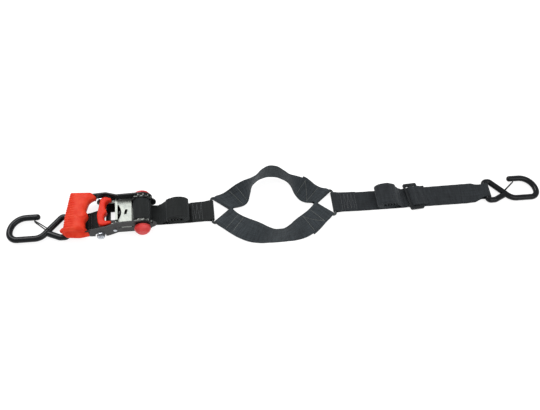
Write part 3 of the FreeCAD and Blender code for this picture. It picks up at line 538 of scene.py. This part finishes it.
def fixed_strap():
    """A closed sewn loop between the anchor sleeve and the hook's eye, slewed to the near side."""
    sleeve_low, sleeve_high = box_mm("anchor_sleeve")
    sleeve = ((sleeve_low[0] + sleeve_high[0]) / 2, (sleeve_low[2] + sleeve_high[2]) / 2)
    eye = hook_eye("left_hook", 1)
    middle = ((sleeve[0] + eye[0]) / 2, (sleeve[1] + eye[1]) / 2)
    right = straight_guide(sleeve, [middle], -1.0)
    left = straight_guide(eye, [middle], 1.0)
    line = (
        [(middle[0] + 1.0, middle[1] - LAYER)]
        + xz(right.place(loop_spots(SLEEVE_R, SLEEVE_STITCH)))
        + xz(left.place(loop_spots(HOOK_WIRE_R, FIXED_EYE_STITCH)[::-1]))
        + [(middle[0] - 0.5, middle[1] - LAYER)]
    )
    y_at = ([eye[0], sleeve[0]], [LEFT_EYE_Y, ANCHOR_STRAP_Y])
    taper_start = eye[0] + EYE_REACH
    halves_at = narrowed(taper_start, taper_start + EYE_TAPER, EYE_WEB_HALF, ANCHOR_WEB_HALF)
    strap = flat_band("fixed_webbing", line, halves_at=halves_at, y_at=y_at, phase=2.9, passes=8)
    slew = (LEFT_EYE_Y - ANCHOR_STRAP_Y) / (sleeve[0] - eye[0])
    sideways = ANCHOR_STRAP_Y + right.lengths * slew
    slewed = Guide(right.centres + np.outer(sideways, [0, 1, 0]), right.acrosses)
    lines = [cross_line(seam, FIXED_STITCH_HALF) for seam in FIXED_SEAMS]
    threads = thread_object("fixed_stitches", both_faces(slewed, lines))
    return finish_strap([strap], threads, "anchor_strap", "fixed_strap")


def finish_strap(bands, threads, body, node):
    """The bands and their stitches ride on one body, and the CAD strap is hidden."""
    for piece in (*bands, threads):
        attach(piece, body)
    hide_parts(node)
    return bands, [threads]


def spool_webbing():
    """The webbing wound on the spool, with its turn through the shaft's slot."""
    low, high = box_mm("spool_webbing")
    centre = np.array([low[0] + high[0], low[2] + high[2]]) / 2
    line = spool_line(centre, SPOOL_WRAP_R - WEB_THICK / 2, SHAFT_R + 0.2 + WEB_THICK / 2)
    strap = flat_band("spool_band", line, phase=3.3, passes=4)
    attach(strap, "spool")
    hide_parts("spool_webbing")
    return [strap]


def glide_webbing():
    """The sewn turn round the tri-glide's centre bar, with its free end over the right bar."""
    low, high = box_mm("tri_glide")
    middle = (low + high) / 2
    centres = soft_line(in_side_plane(GLIDE_LINE), WEB_STEP, 5)
    acrosses = np.tile([0.0, 1.0, 0.0], (len(centres), 1))
    rest = np.array(Matrix.Rotation(GLIDE_TURN, 3, "Z") @ Matrix.Rotation(GLIDE_TILT, 3, "Y"))
    halves = np.full(len(centres), WEB_HALF)
    strap = band("glide_band", centres @ rest.T + middle, acrosses @ rest.T, halves, 5.1)
    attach(strap, "glide")
    return [strap]


# ---------------------------------------------------------------- the slings


def sling_guide(side):
    """Centre line and width directions of a sling, from the left ring's leg to the right ring's leg.

    Each sling stands on its near edge, so its width rises towards the far side.
    """
    first_bend, last_bend, steepest, steepest_at, middle_tilt = SLING_SHAPE[side]
    left_x, ring_z = ring_bar("left_ring", -1)
    middle_x = (left_x + ring_bar("right_ring", 1)[0]) / 2
    leg = unit(np.array([RING_DEPTH, -side * RING_BAR_HALF, 0.0]))
    away = np.array([-leg[1], leg[0], 0.0]) * side
    left_leg = np.array([left_x + RING_DEPTH / 2, side * RING_BAR_HALF / 2, 0.0]) + leg * SLING_SHIFT
    start = left_leg + away * SLING_END_GAP
    controls = np.array([start, (*first_bend, 0.0), (*last_bend, 0.0), (middle_x, last_bend[1], 0.0)])
    reach = np.linspace(0, 1, SLING_SAMPLES)[:, None]
    rest = 1 - reach
    weights = np.hstack([rest**3, 3 * rest**2 * reach, 3 * rest * reach**2, reach**3])
    centres = weights @ controls
    travel = unit(np.gradient(centres, axis=0))
    square = np.stack([-travel[:, 1], travel[:, 0], travel[:, 2]], axis=1)
    freedom = np.minimum(1.0, SLING_FREE_RATE * reach)
    flat = unit(-side * leg * (1 - freedom) + square * freedom)
    settle = (steepest - middle_tilt) * fade(reach, steepest_at, 1.0)
    tilt = steepest * fade(reach, 0.0, steepest_at) - settle
    acrosses = flat * np.cos(tilt) + np.array([0.0, 0.0, 1.0]) * np.sin(tilt)
    centres[:, 2:3] = ring_z * (1 - freedom) + SLING_REST_Z * freedom + WEB_HALF * np.sin(tilt)
    centres = np.vstack([[*left_leg[:2], ring_z], centres])
    acrosses = np.vstack([acrosses[:1], acrosses])
    flip = np.array([-1.0, 1.0, 1.0])
    centres = np.vstack([centres, centres[-2::-1] * flip + [2 * middle_x, 0.0, 0.0]])
    acrosses = np.vstack([acrosses, acrosses[-2::-1] * flip])
    lengths = line_lengths(centres)
    line = soft_line(centres, WEB_STEP, 12)
    return Guide(line, unit(columns_at(line_lengths(line), lengths, acrosses)))


def sling_spots(length, leans):
    """Spots of a whole sling: left tail, loop, main layer, loop and right tail."""
    loop = loop_spots(RING_WIRE_R, SLING_STITCH)
    onward = [(SLING_CUT, 0.0, LAYER), (SLING_SINGLE, 0.0, 0.0)]
    left, right = (
        [(SLING_CUT, lean, -LAYER), (SLING_MEET, 0.0, -LAYER)] + loop + onward for lean in leans
    )
    return left + [(length - along, across, above) for along, across, above in reversed(right)]


def sling(side, name, leans):
    """One sling in three pieces: the end loop at each ring and the middle."""
    guide = sling_guide(side)
    length = guide.lengths[-1]
    spots = soft_line(sling_spots(length, leans), WEB_STEP, 6)
    centres = guide.place(spots)
    acrosses = guide.across_at(spots[:, 0])
    distance = line_lengths(centres)
    total = distance[-1]
    turn = 2 * SLING_CUT + 2.0
    cuts = [0, np.searchsorted(distance, turn), np.searchsorted(distance, total - turn), len(distance) - 1]
    pieces = []
    for label, first, last in zip(("left_end", "middle", "right_end"), cuts[:-1], cuts[1:]):
        part = slice(first, last + 1)
        halves = np.full(last + 1 - first, WEB_HALF)
        pieces.append(band(f"{name}_{label}", centres[part], acrosses[part], halves, phase=side))
    return guide, pieces


def sling_lines(length, first):
    """Stitch lines of both sewn ends: two lines on the left, two with a slanted one between on the right."""
    near, far = SLING_STITCH + 1.0, SLING_CUT - 4.0
    left = [cross_line(seam, SLING_STITCH_HALF, -STITCH_SKEW) for seam in (first, first + 12.0)]
    right = [
        cross_line(length - near, SLING_STITCH_HALF, STITCH_SKEW),
        cross_line(length - far, SLING_STITCH_HALF, STITCH_SKEW),
        [(length - near - STITCH_SKEW, -ZIGZAG_HALF), (length - far + STITCH_SKEW, ZIGZAG_HALF)],
    ]
    return left + right


def slings():
    """Both slings: the middles and their stitches ride on the sling body, and the ends stay fixed round the
    rings.
    """
    shown, threads = [], []
    free = SLING_STITCH - 2.0
    for name, (side, leans, first) in SLING_SEWING.items():
        guide, (left, middle, right) = sling(side, name, leans)
        length = guide.lengths[-1]
        left_leg, right_leg = guide.place([(0, 0, 0), (length, 0, 0)])
        left_free, right_free = guide.place([(free, 0, 0), (length - free, 0, 0)])
        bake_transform(left)
        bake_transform(right)
        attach(middle, "wheel_slings")
        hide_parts(name)
        lines = sling_lines(length, first)
        stitches = thread_object(f"{name}_stitches", both_faces(guide, lines))
        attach(stitches, "wheel_slings")
        shown.extend((left, middle, right))
        threads.append(stitches)
    return shown, threads


# ---------------------------------------------------------------- moulded pieces


def rounded_outline(corners, spacing=0.6):
    """A closed plan outline through (x, y, radius) corners, each turned into an arc."""
    points = []
    count = len(corners)
    for index, (x, y, radius) in enumerate(corners):
        here = np.array([x, y])
        before = unit(np.array(corners[index - 1][:2]) - here)
        after = unit(np.array(corners[(index + 1) % count][:2]) - here)
        half = math.acos(np.clip(before @ after, -1, 1)) / 2
        centre = here + unit(before + after) * radius / math.sin(half)
        start = here + before * radius / math.tan(half)
        first = start - centre
        sweep = (math.pi - 2 * half) * np.sign(before[0] * after[1] - before[1] * after[0])
        for share in np.linspace(0, 1, 9):
            angle = -sweep * share
            turn = np.array([[math.cos(angle), -math.sin(angle)], [math.sin(angle), math.cos(angle)]])
            points.append(centre + turn @ first)
    points.append(points[0])
    return even_line(points, spacing)[:-1]


def prism(name, outline, low, high):
    """A closed block over a plan outline."""
    count = len(outline)
    bottom = [(x, y, low) for x, y in outline]
    top = [(x, y, high) for x, y in outline]
    faces = [[k, (k + 1) % count, count + (k + 1) % count, count + k] for k in range(count)]
    faces.append(list(reversed(range(count))))
    faces.append(list(range(count, 2 * count)))
    return new_object(name, bottom + top, faces)


def remeshed(obj, voxel):
    """The object with an even surface mesh."""
    modifier = obj.modifiers.new("even", "REMESH")
    modifier.mode = "VOXEL"
    modifier.voxel_size = voxel * MM
    modifier.use_smooth_shade = True
    graph = bpy.context.evaluated_depsgraph_get()
    obj.data = bpy.data.meshes.new_from_object(obj.evaluated_get(graph))
    obj.modifiers.clear()
    obj.data.shade_smooth()
    return obj


def read_points(obj):
    """Vertices of an object, in millimetres."""
    flat = np.empty(len(obj.data.vertices) * 3)
    obj.data.vertices.foreach_get("co", flat)
    return flat.reshape(-1, 3) / MM


def write_points(obj, points):
    """Move an object's vertices to points in millimetres."""
    obj.data.vertices.foreach_set("co", (points * MM).ravel())
    obj.data.update()


def edge_distance(points, outline):
    """Plan distance from each point to the nearest stretch of the outline."""
    nearest = np.full(len(points), np.inf)
    for start, end in zip(outline, np.roll(outline, -1, axis=0)):
        stretch = end - start
        share = np.clip((points[:, :2] - start) @ stretch / (stretch @ stretch), 0, 1)
        gap = points[:, :2] - start - share[:, None] * stretch
        nearest = np.minimum(nearest, np.hypot(gap[:, 0], gap[:, 1]))
    return nearest


def crowned(obj, outline, low, high, edge, wall):
    """Round a block's top and bottom over: full height inside, a wall's share of it at the outline."""
    points = read_points(obj)
    inside = np.clip(edge_distance(points, outline) / edge, 0, 1)
    curve = wall + (1 - wall) * np.sqrt(1 - (1 - inside) ** 2)
    middle = (low + high) / 2
    points[:, 2] = middle + (points[:, 2] - middle) * curve
    write_points(obj, points)
    return obj


def merged(name, objects, voxel, smoothing):
    """Several closed shapes as one smooth skin."""
    skin = bmesh.new()
    for obj in objects:
        skin.from_mesh(obj.data)
    whole = objects[0]
    skin.to_mesh(whole.data)
    skin.free()
    for obj in objects[1:]:
        bpy.data.objects.remove(obj)
    whole.name = name
    remeshed(whole, voxel)
    skin = bmesh.new()
    skin.from_mesh(whole.data)
    for _ in range(smoothing):
        bmesh.ops.smooth_vert(
            skin, verts=skin.verts, factor=0.5, use_axis_x=True, use_axis_y=True, use_axis_z=True
        )
    skin.to_mesh(whole.data)
    skin.free()
    whole.data.shade_smooth()
    return whole


def vertex_normals(obj):
    """Normals of an object's vertices."""
    flat = np.empty(len(obj.data.vertices) * 3, np.float32)
    obj.data.vertex_normals.foreach_get("vector", flat)
    return flat.reshape(-1, 3).astype(float)


def fade(values, start, end):
    """0 before start, 1 after end, smooth between."""
    share = np.clip((values - start) / (end - start), 0, 1)
    return share * share * (3 - 2 * share)


def skirted(foot):
    """Slope the foot's top from the barrel down to its outer rim."""
    points = read_points(foot)
    keep = 1 - (1 - SKIRT_RIM) * np.clip((-points[:, 1] - SKIRT_START) / SKIRT_RUN, 0, 1)
    points[:, 2] = GRIP_LOW + (points[:, 2] - GRIP_LOW) * keep
    write_points(foot, points)


def grip_relief(points):
    """How far the grip's skin stands out: the thumb pad, less the grooves between the ribs."""
    near_end, far_end = fade(points[:, 1], *RIB_NEAR_Y), 1 - fade(points[:, 1], *RIB_FAR_Y)
    ribbed = (1 - fade(points[:, 0], *RIB_END_X)) * near_end * far_end
    groove = 1 - np.sqrt(np.abs(np.sin(math.pi * points[:, 1] / RIB_PITCH)))
    pad = np.linalg.norm((points[:, :2] - PAD_CENTRE) / PAD_SIZE, axis=1)
    on_top = points[:, 2] > (GRIP_LOW + GRIP_HIGH) / 2
    return PAD_HEIGHT * (1 - fade(pad, 0.8, 1.0)) * on_top - RIB_DEPTH * groove * ribbed


def handle_grip():
    """Barrel with fine ribs on its outer half, a plain thumb pad, a horn and a flared foot."""
    body_outline = rounded_outline(
        [
            (-83.0, 37.6, 7.0),
            (-73.6, 27.6, 2.0),
            (-86.5, 20.0, 12.0),
            (-91.6, 2.5, 6.0),
            (-86.2, -6.0, 7.0),
            (-92.6, -16.0, 9.0),
            (-91.0, -33.0, 2.0),
            (-127.6, -33.0, 3.0),
            (-125.0, -6.0, 60.0),
            (-117.0, 39.4, 4.0),
        ]
    )
    foot_outline = rounded_outline(
        [
            (-90.5, -28.0, 1.0),
            (-84.6, -38.6, 2.0),
            (-101.0, -41.0, 20.0),
            (-122.0, -38.8, 8.0),
            (-134.4, -27.4, 2.0),
            (-127.0, -22.0, 2.0),
        ]
    )
    body = remeshed(prism("grip_body", body_outline, GRIP_LOW, GRIP_HIGH), 0.8)
    crowned(body, body_outline, GRIP_LOW, GRIP_HIGH, *BODY_CROWN)
    foot = remeshed(prism("grip_foot", foot_outline, GRIP_LOW, FOOT_HIGH), 0.8)
    crowned(foot, foot_outline, GRIP_LOW, FOOT_HIGH, *FOOT_CROWN)
    skirted(foot)
    grip = merged("grip_moulding", [body, foot], 0.5, SKIN_SMOOTHING)
    points = read_points(grip)
    points += vertex_normals(grip) * grip_relief(points)[:, None]
    write_points(grip, points)
    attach(grip, "handle")
    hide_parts("handle_grip")
    return grip


def release_pull():
    """The C-shaped finger pull with rounded rims."""
    outline = rounded_outline(
        [
            (-50.0, 24.4, 1.5),
            (-60.0, 28.2, 7.0),
            (-67.5, 24.6, 6.0),
            (-73.4, -6.0, 30.0),
            (-71.0, -24.0, 7.0),
            (-63.0, -26.6, 5.0),
            (-50.5, -23.8, 1.5),
            (-50.5, -18.0, 1.0),
            (-61.5, -18.0, 5.0),
            (-62.0, -8.0, 6.0),
            (-57.0, -0.5, 4.0),
            (-60.0, 8.0, 6.0),
            (-58.5, 19.6, 5.0),
            (-50.0, 19.6, 1.0),
        ]
    )
    block = remeshed(prism("pull_block", outline, PULL_LOW, PULL_HIGH), 0.6)
    crowned(block, outline, PULL_LOW, PULL_HIGH, *PULL_CROWN)
    pull = merged("pull_moulding", [block], 0.45, SKIN_SMOOTHING)
    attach(pull, "pawl")
    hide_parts("release_pull")
    return pull


# ---------------------------------------------------------------- materials


def linear(*srgb):
    """An sRGB colour of 0 to 255 as a linear colour with alpha."""
    shares = [value / 255 for value in srgb]
    return tuple(s / 12.92 if s <= 0.04045 else ((s + 0.055) / 1.055) ** 2.4 for s in shares) + (1.0,)


def connect(tree, node, inputs):
    """Set a node's inputs to values, or link them to the outputs of other nodes."""
    for key, value in inputs.items():
        if isinstance(value, bpy.types.NodeSocket):
            tree.links.new(value, node.inputs[key])
        else:
            node.inputs[key].default_value = value


def add(tree, kind, inputs=None, **settings):
    """A new node whose inputs are values or the outputs of other nodes."""
    node = tree.nodes.new("ShaderNode" + kind)
    for key, value in settings.items():
        setattr(node, key, value)
    connect(tree, node, inputs or {})
    return node


def maths(tree, operation, first, second=0.0):
    """The result of a maths node."""
    return add(tree, "Math", {0: first, 1: second}, operation=operation).outputs[0]


def mixed(tree, share, first, second):
    """A colour between two colours."""
    node = add(tree, "Mix", {0: share, 6: first, 7: second}, data_type="RGBA")
    return node.outputs[2]


def noise(tree, scale, detail=4.0, stretch=(1.0, 1.0, 1.0)):
    """Noise over the object, at a scale in features per millimetre."""
    place = add(tree, "TexCoord").outputs["Object"]
    mapped = add(tree, "Mapping", {"Vector": place, "Scale": stretch}).outputs[0]
    return add(tree, "TexNoise", {"Vector": mapped, "Scale": scale / MM, "Detail": detail}).outputs[0]


def ramp(tree, value, low, high):
    """A value stretched so that low becomes 0 and high becomes 1."""
    return add(tree, "MapRange", {0: value, 1: low, 2: high, 3: 0.0, 4: 1.0}).outputs[0]


def new_material(name):
    """A material with a Principled shader: its tree and its shader node."""
    material = bpy.data.materials.new(name)
    material.use_nodes = True
    return material, material.node_tree, material.node_tree.nodes["Principled BSDF"]


def edge_wear(tree, radius):
    """1 near sharp edges, broken up by noise, and the rounded normal there."""
    rounded = add(tree, "Bevel", {"Radius": radius * MM}, samples=4).outputs[0]
    true = add(tree, "NewGeometry").outputs["Normal"]
    facing = add(tree, "VectorMath", {0: rounded, 1: true}, operation="DOT_PRODUCT").outputs["Value"]
    bare = ramp(tree, facing, 0.985, 0.86)
    return maths(tree, "MULTIPLY", bare, ramp(tree, noise(tree, 0.5), 0.42, 0.62)), rounded


def bumped(tree, height, distance, normal=None):
    """A normal from a height pattern."""
    inputs = {"Height": height, "Distance": distance * MM}
    if normal:
        inputs["Normal"] = normal
    return add(tree, "Bump", inputs).outputs[0]


def cloth_noise(tree, along, across, rates, scale, detail):
    """Noise that varies at its own rate along and across the webbing."""
    spot = [maths(tree, "MULTIPLY", value, rate) for value, rate in zip((along, across), rates)]
    place = add(tree, "CombineXYZ", {0: spot[0], 1: spot[1]}).outputs[0]
    return add(tree, "TexNoise", {"Vector": place, "Scale": scale, "Detail": detail}).outputs[0]


def webbing_material(name, dark, light):
    """Woven polyester: rows of short warp floats, with streaks along and bars across, and painted shade in
    the hollows between the floats.
    """
    material, tree, shader = new_material(name)
    along = add(tree, "Attribute", attribute_name="along").outputs["Fac"]
    across = add(tree, "Attribute", attribute_name="across").outputs["Fac"]
    column = maths(tree, "DIVIDE", across, WARP_PITCH)
    odd = maths(tree, "MULTIPLY", maths(tree, "FLOORED_MODULO", maths(tree, "FLOOR", column), 2.0), 0.5)
    row = maths(tree, "ADD", maths(tree, "DIVIDE", along, PICK_PITCH), odd)
    warp = maths(tree, "ABSOLUTE", maths(tree, "SINE", maths(tree, "MULTIPLY", column, math.pi)))
    pick = maths(tree, "ABSOLUTE", maths(tree, "SINE", maths(tree, "MULTIPLY", row, math.pi)))
    height = maths(tree, "POWER", maths(tree, "MULTIPLY", warp, pick), 0.55)
    bars = cloth_noise(tree, along, across, (0.35, 0.05), 1.0, 3.0)
    streaks = cloth_noise(tree, along, across, (0.02, 1.0), 0.9, 2.0)
    tone = maths(tree, "MULTIPLY", maths(tree, "ADD", bars, streaks), 0.5)
    worn = mixed(tree, ramp(tree, tone, 0.36, 0.64), dark, light)
    # Painted shade: the hollows between the warp floats are coloured at 0.35 of the dark tone.
    hollow_shade = tuple(0.35 * value for value in dark[:3]) + (1.0,)
    colour = mixed(tree, ramp(tree, height, 0.1, 0.75), hollow_shade, worn)
    relief = maths(tree, "ADD", maths(tree, "MULTIPLY", height, 0.8), maths(tree, "MULTIPLY", bars, 0.8))
    connect(
        tree,
        shader,
        {
            "Base Color": colour,
            "Roughness": 0.72,
            "Specular IOR Level": 0.2,
            "Sheen Weight": 0.1,
            "Sheen Roughness": 0.5,
            "Sheen Tint": (0.8, 0.85, 0.9, 1.0),
            "Normal": bumped(tree, relief, 0.22),
        },
    )
    return material


def thread_material(name, colour):
    """Twisted polyester thread."""
    material, tree, shader = new_material(name)
    twist = noise(tree, 2.0, 2.0)
    pale = tuple(min(1.0, 1.5 * value) for value in colour[:3]) + (1.0,)
    connect(
        tree,
        shader,
        {
            "Base Color": mixed(tree, twist, colour, pale),
            "Roughness": 0.6,
            "Sheen Weight": 0.3,
            "Normal": bumped(tree, twist, 0.2),
        },
    )
    return material


def plastic_material(name, base, worn, roughness):
    """Moulded polypropylene: fine grain, slight mottling and paler rims."""
    material, tree, shader = new_material(name)
    rub, rounded = edge_wear(tree, 0.8)
    mottled = mixed(tree, ramp(tree, noise(tree, 0.09, 3.0), 0.35, 0.7), base, worn)
    colour = mixed(tree, maths(tree, "MULTIPLY", rub, 0.5), mottled, worn)
    grain = noise(tree, 2.2, 3.0)
    gloss = maths(tree, "ADD", maths(tree, "MULTIPLY", noise(tree, 0.2), 0.16), roughness - 0.08)
    connect(
        tree,
        shader,
        {
            "Base Color": colour,
            "Roughness": gloss,
            "Specular IOR Level": 0.15,
            "Subsurface Weight": 0.08,
            "Subsurface Radius": (0.002, 0.0006, 0.0004),
            "Subsurface Scale": 1.0,
            "Normal": bumped(tree, grain, 0.07, rounded),
        },
    )
    return material


def paint_material(name, base, bare, roughness):
    """Satin black paint over steel, with orange peel, and rubbed edges that show metal."""
    material, tree, shader = new_material(name)
    rub, rounded = edge_wear(tree, 0.45)
    scuffs = ramp(tree, noise(tree, 0.35, 6.0, (0.25, 1.0, 1.0)), 0.66, 0.78)
    show = maths(tree, "MAXIMUM", rub, maths(tree, "MULTIPLY", scuffs, 0.35))
    connect(
        tree,
        shader,
        {
            "Base Color": mixed(tree, show, base, bare),
            "Metallic": maths(tree, "MULTIPLY", show, 0.8),
            "Roughness": maths(tree, "ADD", maths(tree, "MULTIPLY", noise(tree, 0.15), 0.2), roughness - 0.1),
            "Specular IOR Level": 0.22,
            "Coat Weight": 0.08,
            "Coat Roughness": 0.25,
            "Normal": bumped(tree, noise(tree, 0.9, 2.0), 0.05, rounded),
        },
    )
    return material


def metal_material(name, base, tint, roughness, brush=(1.0, 0.12, 1.0)):
    """Plated steel: faint brushing, cloudy tint and soft edges, whitened partly as bare-steel wear and partly
    as painted glints.
    """
    material, tree, shader = new_material(name)
    rub, rounded = edge_wear(tree, 0.35)
    cloud = ramp(tree, noise(tree, 0.08, 5.0), 0.35, 0.7)
    brushed = noise(tree, 1.6, 3.0, brush)
    plated = mixed(tree, cloud, base, tint)
    connect(
        tree,
        shader,
        {
            # The near-white at sharp edges is partly bare-steel wear and partly painted glints on edges and
            # tooth tips.
            "Base Color": mixed(tree, maths(tree, "MULTIPLY", rub, 0.6), plated, (0.9, 0.9, 0.9, 1.0)),
            "Metallic": 0.85,
            "Roughness": maths(tree, "ADD", maths(tree, "MULTIPLY", brushed, 0.22), roughness - 0.1),
            "Normal": bumped(tree, brushed, 0.04, rounded),
        },
    )
    return material


def dipped_material(name, base):
    """Soft glossy vinyl dipped over the hook wire, with a faint drip texture."""
    material, tree, shader = new_material(name)
    flow = noise(tree, 0.06, 2.0)
    dull = ramp(tree, noise(tree, 0.4, 5.0), 0.5, 0.75)
    connect(
        tree,
        shader,
        {
            "Base Color": mixed(tree, dull, base, linear(20, 24, 29)),
            "Roughness": maths(tree, "ADD", maths(tree, "MULTIPLY", dull, 0.2), 0.26),
            "Specular IOR Level": 0.14,
            "Coat Weight": 0.16,
            "Coat Roughness": 0.06,
            "Normal": bumped(tree, flow, 0.5),
        },
    )
    return material


def make_materials():
    """Every finish, by its slot name in the record."""
    return {
        "webbing": webbing_material("webbing", linear(18, 21, 21), linear(33, 37, 37)),
        "long_webbing": webbing_material("long_webbing", linear(25, 28, 31), linear(47, 52, 56)),
        "sling_webbing": webbing_material("sling_webbing", linear(36, 41, 44), linear(64, 71, 76)),
        "thread": thread_material("thread", linear(48, 50, 52)),
        "sling_thread": thread_material("sling_thread", linear(74, 77, 74)),
        "grip_plastic": plastic_material("grip_plastic", linear(200, 43, 20), linear(212, 64, 40), 0.5),
        "pull_plastic": plastic_material("pull_plastic", linear(197, 32, 14), linear(208, 50, 30), 0.46),
        "knob_plastic": plastic_material("knob_plastic", linear(184, 44, 42), linear(208, 78, 78), 0.34),
        "black_steel": paint_material("black_steel", linear(20, 21, 22), linear(130, 132, 130), 0.42),
        "zinc_steel": metal_material("zinc_steel", linear(136, 139, 133), linear(112, 116, 113), 0.36),
        "bright_zinc": metal_material("bright_zinc", linear(196, 200, 206), linear(168, 174, 182), 0.3),
        "spring_steel": metal_material("spring_steel", linear(120, 122, 120), linear(90, 92, 94), 0.3),
        "ring_steel": metal_material("ring_steel", linear(64, 68, 68), linear(40, 43, 44), 0.36),
        "gate_wire": paint_material("gate_wire", linear(12, 13, 14), linear(60, 62, 64), 0.4),
        "glide_steel": paint_material("glide_steel", linear(22, 25, 27), linear(96, 100, 102), 0.36),
        "hook_coating": dipped_material("hook_coating", linear(10, 12, 15)),
    }


CAD_FINISHES = {
    "black_steel": ("base_frame", "handle_plate_far", "handle_plate_near", "handle_crossbar"),
    "bright_zinc": ("anchor_bolt", "anchor_nut", "handle_rivets"),
    "zinc_steel": (
        "anchor_sleeve",
        "lock_plate",
        "lock_spring_seat",
        "spool_shaft_upper",
        "spool_shaft_lower",
        "ratchet_wheel_far",
        "ratchet_wheel_near",
        "axle_washers",
        "handle_spring_seat",
        "release_pawl",
    ),
    "knob_plastic": ("knob_far", "knob_near"),
    "spring_steel": ("lock_spring", "pawl_spring"),
    "ring_steel": ("left_ring", "right_ring"),
    "gate_wire": ("left_gate", "right_gate"),
    "glide_steel": ("tri_glide",),
    "hook_coating": ("left_hook", "right_hook"),
}


def paint(obj, material):
    """Give an object one material."""
    if not obj.material_slots:
        obj.data.materials.append(material)
    for slot in obj.material_slots:
        slot.material = material


# ---------------------------------------------------------------- stage, light and camera


def make_floor():
    """A plain white floor."""
    low, high = -FLOOR_HALF, FLOOR_HALF
    corners = [(x, y, FLOOR_Z) for x, y in ((low, low), (high, low), (high, high), (low, high))]
    floor = new_object("floor", corners, [[0, 1, 2, 3]])
    material, tree, shader = new_material("floor")
    connect(
        tree,
        shader,
        {
            "Base Color": (0.35, 0.35, 0.35, 1.0),
            "Roughness": 0.9,
            "Emission Color": (1.0, 1.0, 1.0, 1.0),
            "Emission Strength": 0.8,
        },
    )
    paint(floor, material)


def area_light(name, place, size, power):
    """A soft square light that faces the middle of the object."""
    data = bpy.data.lights.new(name, "AREA")
    data.size = size * MM
    data.energy = power
    light = bpy.data.objects.new(name, data)
    light.location = Vector(place) * MM
    light.rotation_mode = "QUATERNION"
    light.rotation_quaternion = (Vector(LOOK_AT) - Vector(place)).to_track_quat("-Z", "Y")
    bpy.context.scene.collection.objects.link(light)


def make_lights():
    """An even white surround, a large key from the far left and a fill from the near right."""
    world = bpy.data.worlds.new("studio")
    world.use_nodes = True
    world.node_tree.nodes["Background"].inputs["Color"].default_value = (1.0, 1.0, 1.0, 1.0)
    world.node_tree.nodes["Background"].inputs["Strength"].default_value = 0.66
    bpy.context.scene.world = world
    area_light("key", (-500.0, 900.0, 1500.0), 1100.0, 22.5)
    area_light("fill", (1000.0, -900.0, 1300.0), 1300.0, 10.0)


def make_camera():
    """The camera looks down on the strap from the near side, a little rolled."""
    data = bpy.data.cameras.new("camera")
    data.lens = LENS
    data.sensor_width = SENSOR
    camera = bpy.data.objects.new("camera", data)
    flat = math.cos(ELEVATION)
    back = Vector((math.sin(YAW) * flat, -math.cos(YAW) * flat, math.sin(ELEVATION)))
    right = (-back).cross(Vector((0, 0, 1))).normalized()
    up = right.cross(-back)
    rolled_right = right * math.cos(ROLL) + up * math.sin(ROLL)
    rolled_up = up * math.cos(ROLL) - right * math.sin(ROLL)
    turn = Matrix((rolled_right, rolled_up, back)).transposed().to_4x4()
    camera.matrix_world = Matrix.Translation((Vector(LOOK_AT) + back * DISTANCE) * MM) @ turn
    data.clip_end = 20.0
    bpy.context.scene.collection.objects.link(camera)
    bpy.context.scene.camera = camera


# ---------------------------------------------------------------- build


def build(nodes):
    """Make every new piece and give each one, and each CAD node, its finish."""
    materials = make_materials()
    for finish, names in CAD_FINISHES.items():
        for name in names:
            paint(nodes[name], materials[finish])
    webbing_of = {ratchet_strap: "webbing", adjuster_strap: "long_webbing", fixed_strap: "webbing"}
    for maker, finish in webbing_of.items():
        bands, threads = maker()
        for piece in bands:
            paint(piece, materials[finish])
        for piece in threads:
            paint(piece, materials["thread"])
    for maker, finish in ((spool_webbing, "webbing"), (glide_webbing, "long_webbing")):
        for piece in maker():
            paint(piece, materials[finish])
    bands, threads = slings()
    for piece in bands:
        paint(piece, materials["sling_webbing"])
    for piece in threads:
        paint(piece, materials["sling_thread"])
    paint(handle_grip(), materials["grip_plastic"])
    paint(release_pull(), materials["pull_plastic"])


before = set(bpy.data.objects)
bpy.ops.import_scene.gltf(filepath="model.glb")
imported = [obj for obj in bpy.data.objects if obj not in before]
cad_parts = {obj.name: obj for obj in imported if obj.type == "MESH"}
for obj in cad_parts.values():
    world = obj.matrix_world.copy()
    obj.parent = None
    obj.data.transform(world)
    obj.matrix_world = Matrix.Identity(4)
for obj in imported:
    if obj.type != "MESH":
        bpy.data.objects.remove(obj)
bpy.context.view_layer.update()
build(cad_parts)
make_floor()
make_lights()
make_camera()
bpy.context.scene.view_settings.view_transform = "Standard"
